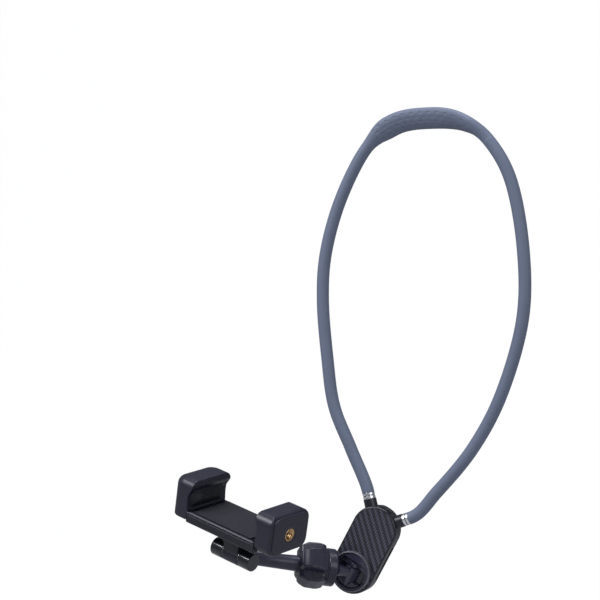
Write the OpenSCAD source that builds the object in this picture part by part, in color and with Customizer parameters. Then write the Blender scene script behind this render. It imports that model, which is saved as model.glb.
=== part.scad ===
// Neck phone holder: a bendable loop that hangs on the neck, with a plug-in base, a turning
// and folding knuckle, a ball joint, a cranked arm and a sprung phone clip.
// Frame in millimetres: the origin lies under the top of the neck pad, +X to the right,
// +Y away from the viewer, +Z up. All angles are those of the photographed pose.

/* [Neck loop] */

// width of the loop between the centres of its runs
loop_w = 137.7; // [110:1:170]
// drop from the neck to the middle of the base
base_drop = 276.1; // [230:1:320]
// distance of the base's middle to the left of the neck's middle
base_shift = 46.4; // [35:1:58]
// height of the tube's centre over the neck at the top
pad_rise = 6.5; // [4:0.5:9]
// outside diameter of the soft sleeve
sleeve_d = 8.2; // [7:0.1:9]
// diameter of the bendable wire core
core_d = 3; // [2:0.1:3.6]
// width of the neck pad
pad_w = 15; // [11:0.5:19]
// thickness of the neck pad
pad_t = 8.6; // [8.4:0.1:11]
// turn of the pad's inner face toward the viewer
pad_roll = 60; // [0:5:75]

/* [Base] */

// width of the base
base_w = 30.6; // [27:0.2:36]
// length of the base
base_len = 62.2; // [56:0.5:74]
// thickness of the base
base_t = 12.4; // [11.4:0.1:15]
// wall of the two shells
wall = 1.8; // [1.2:0.1:2.2]
// rounding of the shells' outer edge
edge_round = 1.3; // [0.6:0.1:1.7]
// lean of the base to the right
base_lean = 28.5; // [0:0.5:40]
// thickness of the woven front plate
plate_t = 0.8; // [0.5:0.1:1.2]
// border left round the front plate
plate_border = 1.1; // [0.8:0.1:2]
// travel of the release button
press_travel = 1.5; // [0.8:0.1:1.8]
// width of the release button
button_w = 9.4; // [6:0.2:9.8]

/* [Plugs] */

// diameter of the visible part of a plug
plug_d = 8.6; // [8:0.1:9.2]
// visible length of a plug
plug_len = 5; // [3:0.5:9]
// length of the bright ring at a sleeve's end
ferrule_len = 4; // [2.5:0.5:7]
// angle of each plug to the base's long axis
plug_angle = 42; // [40:1:48]

/* [Turret] */

// outside diameter of the turret's ring
ring_d = 27; // [26:0.2:28]
// height of the ring over the front plate
ring_rise = 3.8; // [3:0.1:4.2]
// diameter of the cup that turns in the base
cup_d = 24.3; // [23:0.1:24.6]
// depth of the cup in the base
cup_depth = 5; // [4.8:0.1:5.4]
// diameter of the knuckle's barrel
knuckle_d = 9.4; // [8.4:0.1:9.6]
// width of the knuckle's barrel
knuckle_w = 9.4; // [7:0.1:9.8]
// fold of the knuckle from the base's normal
knuckle_fold = 36; // [30:1:40]
// length from the knuckle's pin to the ball's centre
stem_len = 22; // [21.5:0.5:28]

/* [Ball joint] */

// diameter of the ball
ball_d = 14; // [13.6:0.1:14.4]
// diameter of the stud's neck
neck_d = 6; // [5:0.1:6.2]
// tilt of the arm on the ball, in the sense of the fold
ball_tilt = 19; // [10:1:19]
// tilt of the arm on the ball, across the fold
ball_side_tilt = 15; // [5:1:15]
// turn of the arm on the ball
arm_roll = 22; // [0:1:40]
// length of the lock nut
nut_len = 24.5; // [23.5:0.5:30]
// diameter of the lock nut's front band
nut_d = 24.4; // [24:0.1:25]
// diameter over the grip pads
grip_d = 28.8; // [27:0.2:31]

/* [Arm and hinge] */

// diameter of the arm at the nut
arm_d = 10.4; // [9:0.1:10.8]
// diameter of the arm at the hinge
arm_tip_d = 7.4; // [6:0.1:9]
// radius of the arm's bend
arm_r = 68; // [55:1:85]
// angle of the arm's bend
arm_bend = 42; // [35:1:45]
// turn of the hinge about the arm's end
hinge_yaw = 14; // [0:1:25]
// height of the hinge's centre over the arm's end
hinge_rise = 1.5; // [0:0.1:2]
// length of the hinge's barrel
hinge_len = 32; // [28:0.5:38]
// diameter of the hinge's barrel
hinge_d = 11.6; // [10.4:0.1:13]
// width of the hinge's middle knuckle
middle_w = 12.7; // [9:0.1:13.5]

/* [Clip] */

// fold of the clip about the hinge
clip_fold = 72; // [55:1:85]
// space between the jaws when shut
clip_gap = 57; // [50:1:66]
// width of the clip
clip_w = 36.5; // [30:0.5:44]
// height of the tray's top over the hinge's centre
tray_rise = 23.5; // [22:0.5:30]
// thickness of the tray with its body
tray_t = 5.4; // [5:0.1:7]
// height of the jaws over the tray
jaw_h = 17.2; // [13:0.2:22]
// thickness of the sliding jaw
jaw_t = 10; // [8:0.2:13]
// thickness of the fixed jaw
fixed_jaw_t = 13.4; // [12:0.2:17]
// how far the fixed jaw goes down from the tray's top
jaw_drop = 7; // [6.6:0.1:9]
// overhang of the jaws' top lips
lip = 2; // [1:0.1:3]
// travel of the sliding jaw
jaw_travel = 28; // [15:1:32]
// outside diameter of the brass insert
insert_d = 8.6; // [7.6:0.1:10]
// bore of the brass insert
insert_bore = 5.2; // [4.4:0.1:6.2]

/* [Hidden] */

// fits
running = 0.05;
seat_gap = 0.1;
slack = 0.3;
over = 1;

// counts of sides and of steps
$fn = 64;
run_steps = 4;
pad_steps = 8;
run_sides = 12;
pad_sides = 20;
wire_sides = 8;
edge_steps = 4;
bend_steps = 14;
bar_sides = 24;
coil_sides = 6;
coil_rings = 8;

// colours
black = [0.09, 0.1, 0.12];
dark = [0.15, 0.16, 0.19];
slate = [0.42, 0.48, 0.58];
steel = [0.75, 0.76, 0.78];
brass = [0.82, 0.62, 0.3];

// ---- frames, each in the one before it

base_r = base_w / 2;
base_pitch = base_len - base_w;

module at_base() translate([-base_shift, 0, -base_drop]) rotate([0, base_lean, 0]) rotate([90, 0, 0]) children();

module at_plug(side) {
    at_base() translate([0, base_pitch / 2, 0]) rotate([0, 0, -side * plug_angle]) rotate([-90, 0, 0]) children();
}

knuckle_shift = 1.5;
pivot_rise = 1;

module at_turret() at_base() translate([0, -base_pitch / 2, base_t / 2]) children();

module at_knuckle() at_turret() translate([0, -knuckle_shift, pivot_rise]) rotate([0, -knuckle_fold, 0]) children();

module at_ball() at_knuckle() translate([0, 0, stem_len]) children();

module at_arm() at_ball() rotate([0, -ball_tilt, 0]) rotate([ball_side_tilt, 0, 0]) rotate([0, 0, arm_roll]) children();

// the nut's mouth lies in front of the ball's centre, and the bend starts at its other end
mouth = 6.5;
nut_end = nut_len - mouth;

module at_arm_end() {
    at_arm() translate([arm_r * (1 - cos(arm_bend)), 0, nut_end + arm_r * sin(arm_bend)])
        rotate([0, arm_bend, 0]) rotate([0, 0, -hinge_yaw]) translate([0, hinge_rise, 0]) children();
}

module at_clip() at_arm_end() rotate([-clip_fold, 0, 0]) children();

// ---- the loop's route, a smooth curve through points, from the left plug to the right one

sleeve_start = base_r + plug_len + ferrule_len;

// a direction of the base's front plane, by its angle to the base's long axis
function base_dir(a) = [sin(base_lean + a), 0, cos(base_lean + a)];
base_mid = [-base_shift, 0, -base_drop];
function plug_end(side) = base_mid + base_pitch / 2 * base_dir(0) + sleeve_start * base_dir(side * plug_angle);

// places on the route, across as shares of the loop's width, down as shares of the base's drop
route_shares = [
    [-0.412, 0.761], [-0.499, 0.659], [-0.534, 0.543], [-0.557, 0.406], [-0.541, 0.29], [-0.465, 0.163],
    [-0.3355, 0.044], [-0.189, -0.0125], [-0.005, -0.0235], [0.145, -0.011],
    [0.268, 0.032], [0.378, 0.13], [0.436, 0.29], [0.432, 0.4505], [0.3325, 0.622], [0.196, 0.7497],
    [0.022, 0.8547]
];
// the share of the drop that stands for the tube's centre at the top
top_share = -0.0235;

function route_place(s) = [s[0] * loop_w, 0, -s[1] * base_drop + (pad_rise + top_share * base_drop)];

route = concat([plug_end(-1)], [for (s = route_shares) route_place(s)], [plug_end(1)]);
spans = len(route) - 1;
pad_from = 7;
pad_to = 11;

// the curve's direction at a route point: along the plug at both ends
end_pull = 1.6;
function pull(i) =
    i == 0 ? base_dir(-plug_angle) * norm(route[1] - route[0]) * end_pull / 2
    : i == spans ? -base_dir(plug_angle) * norm(route[spans] - route[spans - 1])
    : (route[i + 1] - route[i - 1]) / 2;

function place(i, t) =
    let(t2 = t * t, t3 = t2 * t)
    (2 * t3 - 3 * t2 + 1) * route[i] + (t3 - 2 * t2 + t) * pull(i)
    + (3 * t2 - 2 * t3) * route[i + 1] + (t3 - t2) * pull(i + 1);

function slope(i, t) =
    let(t2 = t * t)
    (6 * t2 - 6 * t) * route[i] + (3 * t2 - 4 * t + 1) * pull(i)
    + (6 * t - 6 * t2) * route[i + 1] + (3 * t2 - 2 * t) * pull(i + 1);

// stations [place, direction] along some spans
function stations(first, last, steps) = [
    for (i = [first : last - 1]) for (k = [0 : i == last - 1 ? steps : steps - 1])
        let(t = k / steps, s = slope(i, t)) [place(i, t), s / norm(s)]
];

left_run = stations(0, pad_from, run_steps);
pad_run = stations(pad_from, pad_to, pad_steps);
right_run = stations(pad_to, spans, run_steps);

// one ring of points square to the route: half sizes out of the loop and across it, then its turn
function ring(station, out_r, across_r, turn, sides) =
    let(dir = station[1], n = [-dir[2], 0, dir[0]], y = [0, 1, 0],
        u = n * cos(turn) + y * sin(turn), v = y * cos(turn) - n * sin(turn))
    [for (k = [0 : sides - 1]) station[0] + u * out_r * cos(360 * k / sides) + v * across_r * sin(360 * k / sides)];

function shift_faces(faces, by) = [for (f = faces) [for (p = f) p + by]];

// triangles of a skin over rings of points; flip turns it inside out
function skin_faces(rings, sides, flip) = [
    for (r = [0 : rings - 2]) for (k = [0 : sides - 1])
        let(a = r * sides + k, b = r * sides + (k + 1) % sides, c = a + sides, d = b + sides)
        for (f = [[a, b, d], [a, d, c]]) flip ? [f[0], f[2], f[1]] : f
];

module rod_skin(rings) {
    n = len(rings[0]);
    m = len(rings);
    caps = [
        for (k = [1 : n - 2]) for (f = [[0, k + 1, k], [(m - 1) * n, (m - 1) * n + k, (m - 1) * n + k + 1]]) f
    ];
    polyhedron([for (r = rings) for (p = r) p], concat(skin_faces(m, n, false), caps), convexity = 10);
}

module tube_skin(outer, inner) {
    n = len(outer[0]);
    m = len(outer);
    shift = n * m;
    caps = [
        for (k = [0 : n - 1])
            let(l = (k + 1) % n, e = (m - 1) * n)
            for (f = [[k, shift + l, l], [k, shift + k, shift + l],
                      [e + k, e + l, shift + e + l], [e + k, shift + e + l, shift + e + k]]) f
    ];
    polyhedron(
        [for (rs = [outer, inner]) for (r = rs) for (p = r) p],
        concat(skin_faces(m, n, false), shift_faces(skin_faces(m, n, true), shift), caps),
        convexity = 10
    );
}

core_bore_r = core_d / 2 + slack / 2;

module sleeve(run) {
    tube_skin([for (s = run) ring(s, sleeve_d / 2, sleeve_d / 2, 0, run_sides)],
              [for (s = run) ring(s, core_bore_r, core_bore_r, 0, run_sides)]);
}

module neck_sleeve_left() color(slate) sleeve(left_run);

module neck_sleeve_right() color(slate) sleeve(right_run);

// the pad swells from the sleeve's size to its own over a part of its length at each end
swell_share = 0.2;
roll_end_share = 0.17;
function ease(t) = t <= 0 ? 0 : t >= 1 ? 1 : t * t * (3 - 2 * t);
function swell(t) = ease(min(t, 1 - t) / swell_share);
function roll_at(t) = pad_roll * (1 - (1 - roll_end_share) * ease((t - 1 / 2) * 2));

module neck_pad() {
    last = len(pad_run) - 1;
    color(slate) tube_skin(
        [for (k = [0 : last]) let(t = k / last, s = swell(t))
            ring(pad_run[k], (sleeve_d + (pad_t - sleeve_d) * s) / 2, (sleeve_d + (pad_w - sleeve_d) * s) / 2,
                 roll_at(t), pad_sides)],
        [for (k = [0 : last]) ring(pad_run[k], core_bore_r, core_bore_r, roll_at(k / last), pad_sides)]
    );
}

// the wire runs on straight into both plugs
wire_end = base_r * 0.62;

module core_wire() {
    run = concat(left_run, [for (k = [1 : len(pad_run) - 1]) pad_run[k]], [for (k = [1 : len(right_run) - 1]) right_run[k]]);
    tail = sleeve_start - wire_end;
    first = [plug_end(-1) - base_dir(-plug_angle) * tail, base_dir(-plug_angle)];
    final = [plug_end(1) - base_dir(plug_angle) * tail, -base_dir(plug_angle)];
    color(steel) rod_skin([for (s = concat([first], run, [final])) ring(s, core_d / 2, core_d / 2, 0, wire_sides)]);
}

// ---- plugs and bright rings; along +Z from the middle of the base's upper arc

nipple_d = plug_d - 2.4;
shank_d = plug_d - 1.8;
tip = 7.5;
groove_from = 8.8;
groove_to = 11.6;
groove_depth = 0.9;
collar_sink = 0.9;
plug_chamfer = 0.4;
guide_from = 11.9;

module ring_profile(r_in, r_out, z0, z1) translate([r_in, z0]) square([r_out - r_in, z1 - z0]);

module plug() {
    rotate_extrude() polygon([
        [0, tip], [shank_d / 2 - plug_chamfer, tip], [shank_d / 2, tip + plug_chamfer],
        [shank_d / 2, groove_from], [shank_d / 2 - groove_depth, groove_from],
        [shank_d / 2 - groove_depth, groove_to], [shank_d / 2, groove_to],
        [shank_d / 2, base_r - collar_sink], [plug_d / 2, base_r - collar_sink],
        [plug_d / 2, base_r + plug_len - plug_chamfer], [plug_d / 2 - plug_chamfer, base_r + plug_len],
        [nipple_d / 2, base_r + plug_len], [nipple_d / 2, sleeve_start],
        [core_bore_r, sleeve_start], [core_bore_r, wire_end - slack], [0, wire_end - slack]
    ]);
}

ferrule_groove = 0.3;
ferrule_d = sleeve_d - 0.1;

module ferrule() {
    z0 = base_r + plug_len;
    mid = z0 + ferrule_len / 2;
    rotate_extrude() polygon([
        [nipple_d / 2 + running, z0], [ferrule_d / 2 - ferrule_groove, z0],
        [ferrule_d / 2, z0 + ferrule_groove], [ferrule_d / 2, mid - ferrule_groove],
        [ferrule_d / 2 - ferrule_groove, mid - ferrule_groove / 2],
        [ferrule_d / 2 - ferrule_groove, mid + ferrule_groove / 2], [ferrule_d / 2, mid + ferrule_groove],
        [ferrule_d / 2, sleeve_start - ferrule_groove], [ferrule_d / 2 - ferrule_groove, sleeve_start],
        [nipple_d / 2 + running, sleeve_start]
    ]);
}

module plug_left() color(black) at_plug(-1) plug();

module plug_right() color(black) at_plug(1) plug();

module ferrule_left() color(steel) at_plug(-1) ferrule();

module ferrule_right() color(steel) at_plug(1) ferrule();

// ---- base; its frame has X across, Y along the base and Z out of the front

plate_gap = 0.1;
plate_r = base_r - plate_border;
recess_z = base_t / 2 - plate_t - seat_gap;
floor_z = recess_z - wall;
inner_r = base_r - wall;

// turns a profile about both ends of the base and draws it along between them
module stadium() {
    for (end = [-1, 1]) translate([0, end * base_pitch / 2, 0]) rotate_extrude() children();
    rotate([90, 0, 0]) linear_extrude(base_pitch, center = true) {
        children();
        mirror([1, 0]) children();
    }
}

// half of the outline, from the middle plane up to a height, with its edge rounded
module half_outline(r, h, edge) {
    polygon(concat([[0, 0], [r, 0]],
        [for (k = [0 : edge_steps]) let(a = 90 * k / edge_steps) [r - edge * (1 - cos(a)), h - edge * (1 - sin(a))]],
        [[0, h]]));
}

module half_shell(up) {
    mirror([0, 0, up ? 0 : 1]) difference() {
        stadium() half_outline(base_r, base_t / 2, edge_round);
        translate([0, 0, -over]) stadium() square([inner_r, (up ? floor_z : base_t / 2 - wall) + over]);
    }
}

// guides of the plugs, and the cuts that the plugs and the button need
guide_wall = 1;
module on_base_plug(side) translate([0, base_pitch / 2, 0]) rotate([0, 0, -side * plug_angle]) rotate([-90, 0, 0]) children();

module plug_guides() {
    for (side = [-1, 1]) on_base_plug(side) translate([0, 0, guide_from])
        cylinder(h = base_r - guide_from, r = shank_d / 2 + guide_wall);
}

module plug_cuts() {
    for (side = [-1, 1]) on_base_plug(side) {
        cylinder(h = base_r + over, r = shank_d / 2 + running);
        translate([0, 0, base_r - collar_sink - running]) cylinder(h = plug_len, r = plug_d / 2 + running);
    }
}

button_h = 6;
button_proud = 0.6;
button_depth = 3;
stem_w = 2.2;
stem_gap = 0.1;
button_base = base_pitch / 2 + base_r + button_proud - button_depth - press_travel;

module button_window() {
    translate([-button_w / 2 - running * 2, button_base - seat_gap, -button_h / 2 - running * 2])
        cube([button_w + running * 4, wall + button_depth + press_travel, button_h + running * 4]);
}

// turret's seat
hub_wall = 1.6;
hub_floor = 2.6;
spindle_d = 8;
cup_floor_z = base_t / 2 - cup_depth;

// screws of the housing
screw_d = 2;
screw_head_d = 3.8;
screw_head_h = 1.2;
boss_d = 4.8;
screw_x = base_r - wall - boss_d / 2 + 0.6;
screw_low = 1.8;
screw_high = 8.6;
screw_places = [for (x = [-screw_x, screw_x]) for (y = [screw_low, screw_high]) [x, y]];
screw_bite = 3.2;

// the spring's seat across the housing
seat_y = 4.6;
seat_t = 1.6;
spring_d = 4;
spring_wire = 0.5;
spring_curls = 6;
latch_t = 2.4;
latch_foot = 13.4;
latch_foot_h = 2.2;

module base_front_shell() {
    color(dark) at_base() difference() {
        union() {
            half_shell(true);
            intersection() {
                union() {
                    plug_guides();
                    translate([-base_r + wall / 2, seat_y - seat_t, -over]) cube([2 * base_r - wall, seat_t, base_t]);
                    for (p = screw_places) translate([p[0], p[1], -over]) cylinder(h = base_t / 2, d = boss_d);
                }
                stadium() square([inner_r + wall / 2, floor_z + wall * 0.75]);
            }
            translate([0, -base_pitch / 2, cup_floor_z - hub_floor])
                cylinder(h = base_t / 2 - cup_floor_z + hub_floor - plate_t - seat_gap, r = cup_d / 2 + running + hub_wall);
        }
        translate([0, 0, recess_z]) stadium() square([plate_r + plate_gap, base_t]);
        translate([0, -base_pitch / 2, cup_floor_z - running]) cylinder(h = base_t, r = cup_d / 2 + running);
        translate([0, -base_pitch / 2, -base_t]) cylinder(h = base_t * 2, r = spindle_d / 2 + running);
        plug_cuts();
        button_window();
        for (p = screw_places) translate([p[0], p[1], -over]) cylinder(h = over + screw_bite, d = screw_d);
        // room for the rear shell's floor under the hub
        translate([0, 0, -base_t]) linear_extrude(base_t / 2 + wall + running) square([base_len, base_len * 2], center = true);
    }
}

// long slot in the right side wall
slot_from = -14.4;
slot_to = 9.8;
slot_z = -2.4;
slot_w = 1.6;
slot_depth = 1.1;

module base_rear_shell() {
    color(black) at_base() difference() {
        union() {
            half_shell(false);
            intersection() {
                union() {
                    plug_guides();
                    for (p = screw_places) translate([p[0], p[1], -base_t / 2]) cylinder(h = base_t / 2, d = boss_d);
                }
                mirror([0, 0, 1]) stadium() square([inner_r + wall / 2, base_t / 2 - wall / 2]);
            }
        }
        plug_cuts();
        button_window();
        for (p = screw_places) translate([p[0], p[1], -base_t / 2 - over]) {
            cylinder(h = base_t, d = screw_d + slack);
            cylinder(h = over + screw_head_h + running, d = screw_head_d + running * 2);
        }
        translate([base_r - slot_depth, slot_from, slot_z - slot_w / 2]) cube([base_w, slot_to - slot_from, slot_w]);
        // the hub of the front shell comes down into the rear one
        translate([0, -base_pitch / 2, cup_floor_z - hub_floor - slack])
            cylinder(h = base_t, r = cup_d / 2 + running + hub_wall + slack);
    }
}

module weave_plate() {
    color(dark) at_base() difference() {
        translate([0, 0, recess_z]) stadium() square([plate_r, plate_t]);
        translate([0, -base_pitch / 2, 0]) cylinder(h = base_t, r = cup_d / 2 + running);
    }
}

driver_d = 1.2;
module base_screws() {
    color(steel) at_base() for (p = screw_places) translate([p[0], p[1], -base_t / 2 + running]) difference() {
        union() {
            cylinder(h = screw_head_h, d = screw_head_d);
            cylinder(h = base_t / 2 + screw_bite - running * 2, d = screw_d);
        }
        translate([0, 0, -over]) cylinder(h = over + screw_head_h / 2, d = driver_d, $fn = 6);
    }
}

module release_button() {
    top = base_r + button_proud;
    color(black) at_base() difference() {
        union() {
            intersection() {
                translate([0, base_pitch / 2, -button_h / 2]) cylinder(h = button_h, r = top);
                translate([-button_w / 2, base_pitch / 2 + top - button_depth, -button_h / 2])
                    cube([button_w, button_depth, button_h]);
            }
            translate([-stem_w / 2, latch_foot + latch_foot_h, -latch_t / 2])
                cube([stem_w, base_pitch / 2 + top - button_depth - latch_foot - latch_foot_h + slack, latch_t]);
        }
        // thumb groove across the button's top
        translate([0, base_pitch / 2 + top + groove_depth, 0]) cylinder(h = button_h * 2, r = groove_depth * 1.6, center = true);
    }
}

// the bar under the plugs: its two hooks catch their grooves from below
hook_w = 1.3;
hook_len = 2.6;
hook_gap = 0.2;
arm_x = 10.3;
arm_top = 21;
module latch_bar() {
    catch_at = groove_to - running - hook_w;
    hook_from = shank_d / 2 - groove_depth + hook_gap;
    half_w = arm_x + hook_w / 2;
    color(steel) at_base() union() {
        translate([-half_w, latch_foot, -latch_t / 2]) cube([2 * half_w, latch_foot_h - running, latch_t]);
        for (side = [-1, 1]) {
            on_base_plug(side) translate([side * (hook_from + hook_len / 2), 0, catch_at + hook_w / 2])
                cube([hook_len, latch_t, hook_w], center = true);
            translate([side * arm_x - hook_w / 2, latch_foot, -latch_t / 2])
                cube([hook_w, arm_top - latch_foot, latch_t]);
        }
    }
}

// ---- coils, each one unbroken tube

function coil_ring(r, wire, pitch, k, rings, sides) =
    let(a = 360 * k / rings, z = pitch * k / rings, n = [cos(a), sin(a), 0],
        lean = atan2(pitch, 2 * PI * r), up = [-sin(a) * sin(lean), cos(a) * sin(lean), -cos(lean)])
    [for (j = [0 : sides - 1]) n * (r + wire * cos(360 * j / sides)) + [0, 0, z] + up * wire * sin(360 * j / sides)];

module coil(d, wire_d, length, curls) {
    pitch = (length - wire_d) / curls;
    translate([0, 0, wire_d / 2])
        rod_skin([for (k = [0 : curls * coil_rings]) coil_ring((d - wire_d) / 2, wire_d / 2, pitch, k, coil_rings, coil_sides)]);
}

module button_spring() {
    gap = running * 2;
    color(steel) at_base() translate([0, seat_y + gap, 0]) rotate([-90, 0, 0])
        coil(spring_d, spring_wire, latch_foot - seat_y - 2 * gap, spring_curls);
}

// ---- turret; its frame has Z out of the front plate

land_y = 7.3;
land_z = 3;
pocket_r = cup_d / 2 - 0.95;
pocket_floor = 0.6;
barrel_gap = 0.1;
ear_t = 2.8;
ear_r = 2.7;
pin_d = 2.5;
pit_reach = 9.2;
ring_foot = 0.05;
thread_d = 3;
thread_bite = 3.4;

module turret_ring() {
    r0 = cup_d / 2 + running;
    r1 = ring_d / 2;
    color(dark) at_turret() rotate_extrude() polygon([
        [r0, ring_foot], [r1, ring_foot], [r1, ring_rise / 2], [r1 - ring_rise / 12, ring_rise * 0.8],
        [r1 - ring_rise / 6, ring_rise * 0.95], [(r0 + r1) / 2, ring_rise], [r0 + ring_rise / 12, ring_rise * 0.95],
        [r0, ring_rise * 0.85]
    ]);
}

module turret_cup() {
    spindle = cup_depth + hub_floor - running;
    color(dark) at_turret() difference() {
        union() {
            difference() {
                translate([0, 0, -cup_depth]) cylinder(h = cup_depth + land_z, r = cup_d / 2);
                translate([0, 0, pocket_floor]) intersection() {
                    cylinder(h = base_t, r = pocket_r);
                    translate([-cup_d, land_y - cup_d * 2, 0]) cube([cup_d * 2, cup_d * 2, base_t]);
                }
            }
            translate([0, -knuckle_shift, 0]) for (side = [-1, 1]) {
                translate([0, side * (knuckle_w / 2 + barrel_gap + ear_t / 2), pivot_rise]) rotate([90, 0, 0])
                    cylinder(h = ear_t, r = ear_r, center = true);
            }
            translate([0, 0, -spindle]) cylinder(h = spindle, d = spindle_d);
        }
        // pit of the knuckle's barrel, open to both sides
        translate([0, -knuckle_shift, pivot_rise]) rotate([90, 0, 0])
            cylinder(h = knuckle_w + 2 * barrel_gap, r = knuckle_d / 2 + barrel_gap, center = true);
        translate([-pit_reach, -knuckle_shift - knuckle_w / 2 - barrel_gap, pivot_rise - knuckle_d / 3])
            cube([pit_reach * 2, knuckle_w + 2 * barrel_gap, base_t]);
        // pin's bore, open at the front of the cup's rim
        translate([0, ear_t + knuckle_w / 2 - knuckle_shift, pivot_rise]) rotate([90, 0, 0]) cylinder(h = cup_d, d = pin_d);
        translate([0, 0, -spindle - over]) cylinder(h = over + thread_bite, d = thread_d);
    }
}

module knuckle_pin() {
    color(steel) at_turret() translate([0, knuckle_w / 2 + ear_t - knuckle_shift - running, pivot_rise])
        rotate([90, 0, 0]) cylinder(h = knuckle_w + 2 * ear_t, r = pin_d / 2 - running / 2);
}

bolt_head_d = 6.4;
bolt_head_h = 1.4;
washer_t = 0.5;
turret_washer_d = 11;
module turret_washer() {
    color(steel) at_turret() translate([0, 0, -cup_depth - hub_floor - washer_t - running]) difference() {
        cylinder(h = washer_t, d = turret_washer_d);
        translate([0, 0, -over]) cylinder(h = washer_t + 2 * over, r = thread_d / 2 + seat_gap);
    }
}

module turret_screw() {
    color(steel) at_turret() translate([0, 0, -cup_depth - hub_floor - washer_t - 2 * running - bolt_head_h]) difference() {
        union() {
            cylinder(h = bolt_head_h, d = bolt_head_d);
            cylinder(h = bolt_head_h + washer_t + thread_bite, d = thread_d);
        }
        translate([0, 0, -over]) cylinder(h = over + bolt_head_h / 2, d = thread_d, $fn = 6);
    }
}

// ---- knuckle and ball stud; Z runs along the stem

stem_d = 7.2;
stud_len = 5;
stud_d = 3;
neck_from = stem_len * 0.54;
flat_x = 4.1;

module flip_knuckle() {
    color(black) at_knuckle() difference() {
        union() {
            rotate([90, 0, 0]) cylinder(h = knuckle_w, d = knuckle_d, center = true);
            cylinder(h = neck_from, d = stem_d);
            translate([0, 0, neck_from - neck_d / 4]) cylinder(h = neck_d / 4, d = stem_d + slack * 2);
        }
        rotate([90, 0, 0]) cylinder(h = knuckle_w + over, r = pin_d / 2 + running, center = true);
        translate([flat_x, -knuckle_w, -knuckle_d]) cube([knuckle_d, knuckle_w * 2, knuckle_d * 2]);
        translate([0, 0, neck_from - stud_len]) cylinder(h = stud_len + over, d = stud_d);
    }
}

module ball_stud() {
    color(steel) at_knuckle() union() {
        translate([0, 0, stem_len]) sphere(d = ball_d);
        translate([0, 0, neck_from]) cylinder(h = stem_len - neck_from, d = neck_d);
        translate([0, 0, neck_from - stud_len + running]) cylinder(h = stud_len, d = stud_d);
    }
}

// ---- ball joint; Z runs from the ball's centre along the arm

ball_r = ball_d / 2;
shell_in = ball_r + running;
shell_out = ball_r + 0.9;
socket_r = shell_out + running;
seat_angle = 50;
zone_from = 93;
zone_to = 117;

// a band of a hollow ball between two angles from +Z
module ball_band(r0, r1, a0, a1) {
    steps = 10;
    rotate_extrude() polygon(concat(
        [for (k = [0 : steps]) let(a = a0 + (a1 - a0) * k / steps) [r1 * sin(a), r1 * cos(a)]],
        [for (k = [steps : -1 : 0]) let(a = a0 + (a1 - a0) * k / steps) [r0 * sin(a), r0 * cos(a)]]
    ));
}

module ball_seat() {
    color([0.8, 0.8, 0.76]) at_arm() difference() {
        intersection() {
            sphere(r = shell_out);
            translate([0, 0, shell_out * cos(seat_angle)]) cylinder(h = ball_d, r = ball_d);
        }
        sphere(r = shell_in);
        cylinder(h = ball_d, r = ball_r / 4);
    }
}

module pressure_ring() {
    color([0.8, 0.8, 0.76]) at_arm() difference() {
        intersection() {
            sphere(r = shell_out);
            translate([0, 0, shell_out * cos(zone_to)])
                cylinder(h = shell_out * (cos(zone_from) - cos(zone_to)), r = ball_d);
        }
        sphere(r = shell_in);
    }
}

socket_wall = 1;
socket_d = 2 * (socket_r + socket_wall);
socket_len = 5.6;
mouth_d = 15.2;
lip_d = 11.8;
lip_z = 4.2;
nut_band = 5.5;
nut_tail_wall = 0.9;
edge_w = 0.3;
nut_bore_r = socket_d / 2 + running;
tail_r = arm_d / 2 + slack;
cone_end = nut_end * 0.8;

// the nut's outside, as if it were solid
module nut_outside() {
    polygon([
        [0, -mouth], [nut_d / 2 - edge_w * 3, -mouth], [nut_d / 2 - edge_w, -mouth + edge_w], [nut_d / 2, -mouth + edge_w * 3],
        [nut_d / 2, -mouth + nut_band], [nut_d / 2 - edge_w, -mouth + nut_band + edge_w],
        [tail_r + nut_tail_wall, nut_end], [0, nut_end]
    ]);
}

// its inside: flared mouth, lip, thread and the cone round the arm
module nut_inside() {
    polygon([
        [0, -mouth - over], [mouth_d / 2 + over / 2, -mouth - over], [lip_d / 2, -lip_z], [lip_d / 2, -slack],
        [nut_bore_r, -slack], [nut_bore_r, socket_len + slack], [tail_r, cone_end], [tail_r, nut_end + over], [0, nut_end + over]
    ]);
}

grips = 4;
grip_turn = 5;
grip_w = 15;
grip_from = -mouth + 7.6;
grip_to = nut_end - 0.6;
grip_corner = 4.5;
grip_draft = 1.4;

// one raised pad, drawn along the nut and cut to its rounded outline
module grip_pad() {
    intersection() {
        union() {
            translate([0, 0, grip_from]) cylinder(h = grip_to - grip_from, d = grip_d);
            translate([0, 0, grip_from]) mirror([0, 0, 1]) cylinder(h = grip_draft, d1 = grip_d, d2 = grip_d - 2 * grip_draft);
        }
        rotate([0, 90, 0]) linear_extrude(grip_d) translate([-(grip_from + grip_to) / 2, 0]) grip_outline();
    }
}

module grip_outline() {
    l = grip_to - grip_from + grip_draft;
    translate([grip_draft / 2, 0]) intersection() {
        square([l, grip_w], center = true);
        translate([l * 0.28, 0]) circle(r = l * 0.86);
        rotate(45) square([l * 1.12, l * 1.12], center = true);
    }
}

module lock_nut() {
    color(dark) at_arm() difference() {
        union() {
            rotate_extrude() nut_outside();
            for (k = [0 : grips - 1]) rotate([0, 0, grip_turn + k * 360 / grips]) grip_pad();
        }
        rotate_extrude() nut_inside();
        sphere(r = socket_r);
    }
}

// ---- arm

fork_back = hinge_d / 2 + 0.8;
fork_web = 3;
bar_end = fork_back + fork_web;
fork_screw_d = 2.5;
fork_head_d = 4.8;
fork_head_h = 1.4;
fork_bite = 7;

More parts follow.
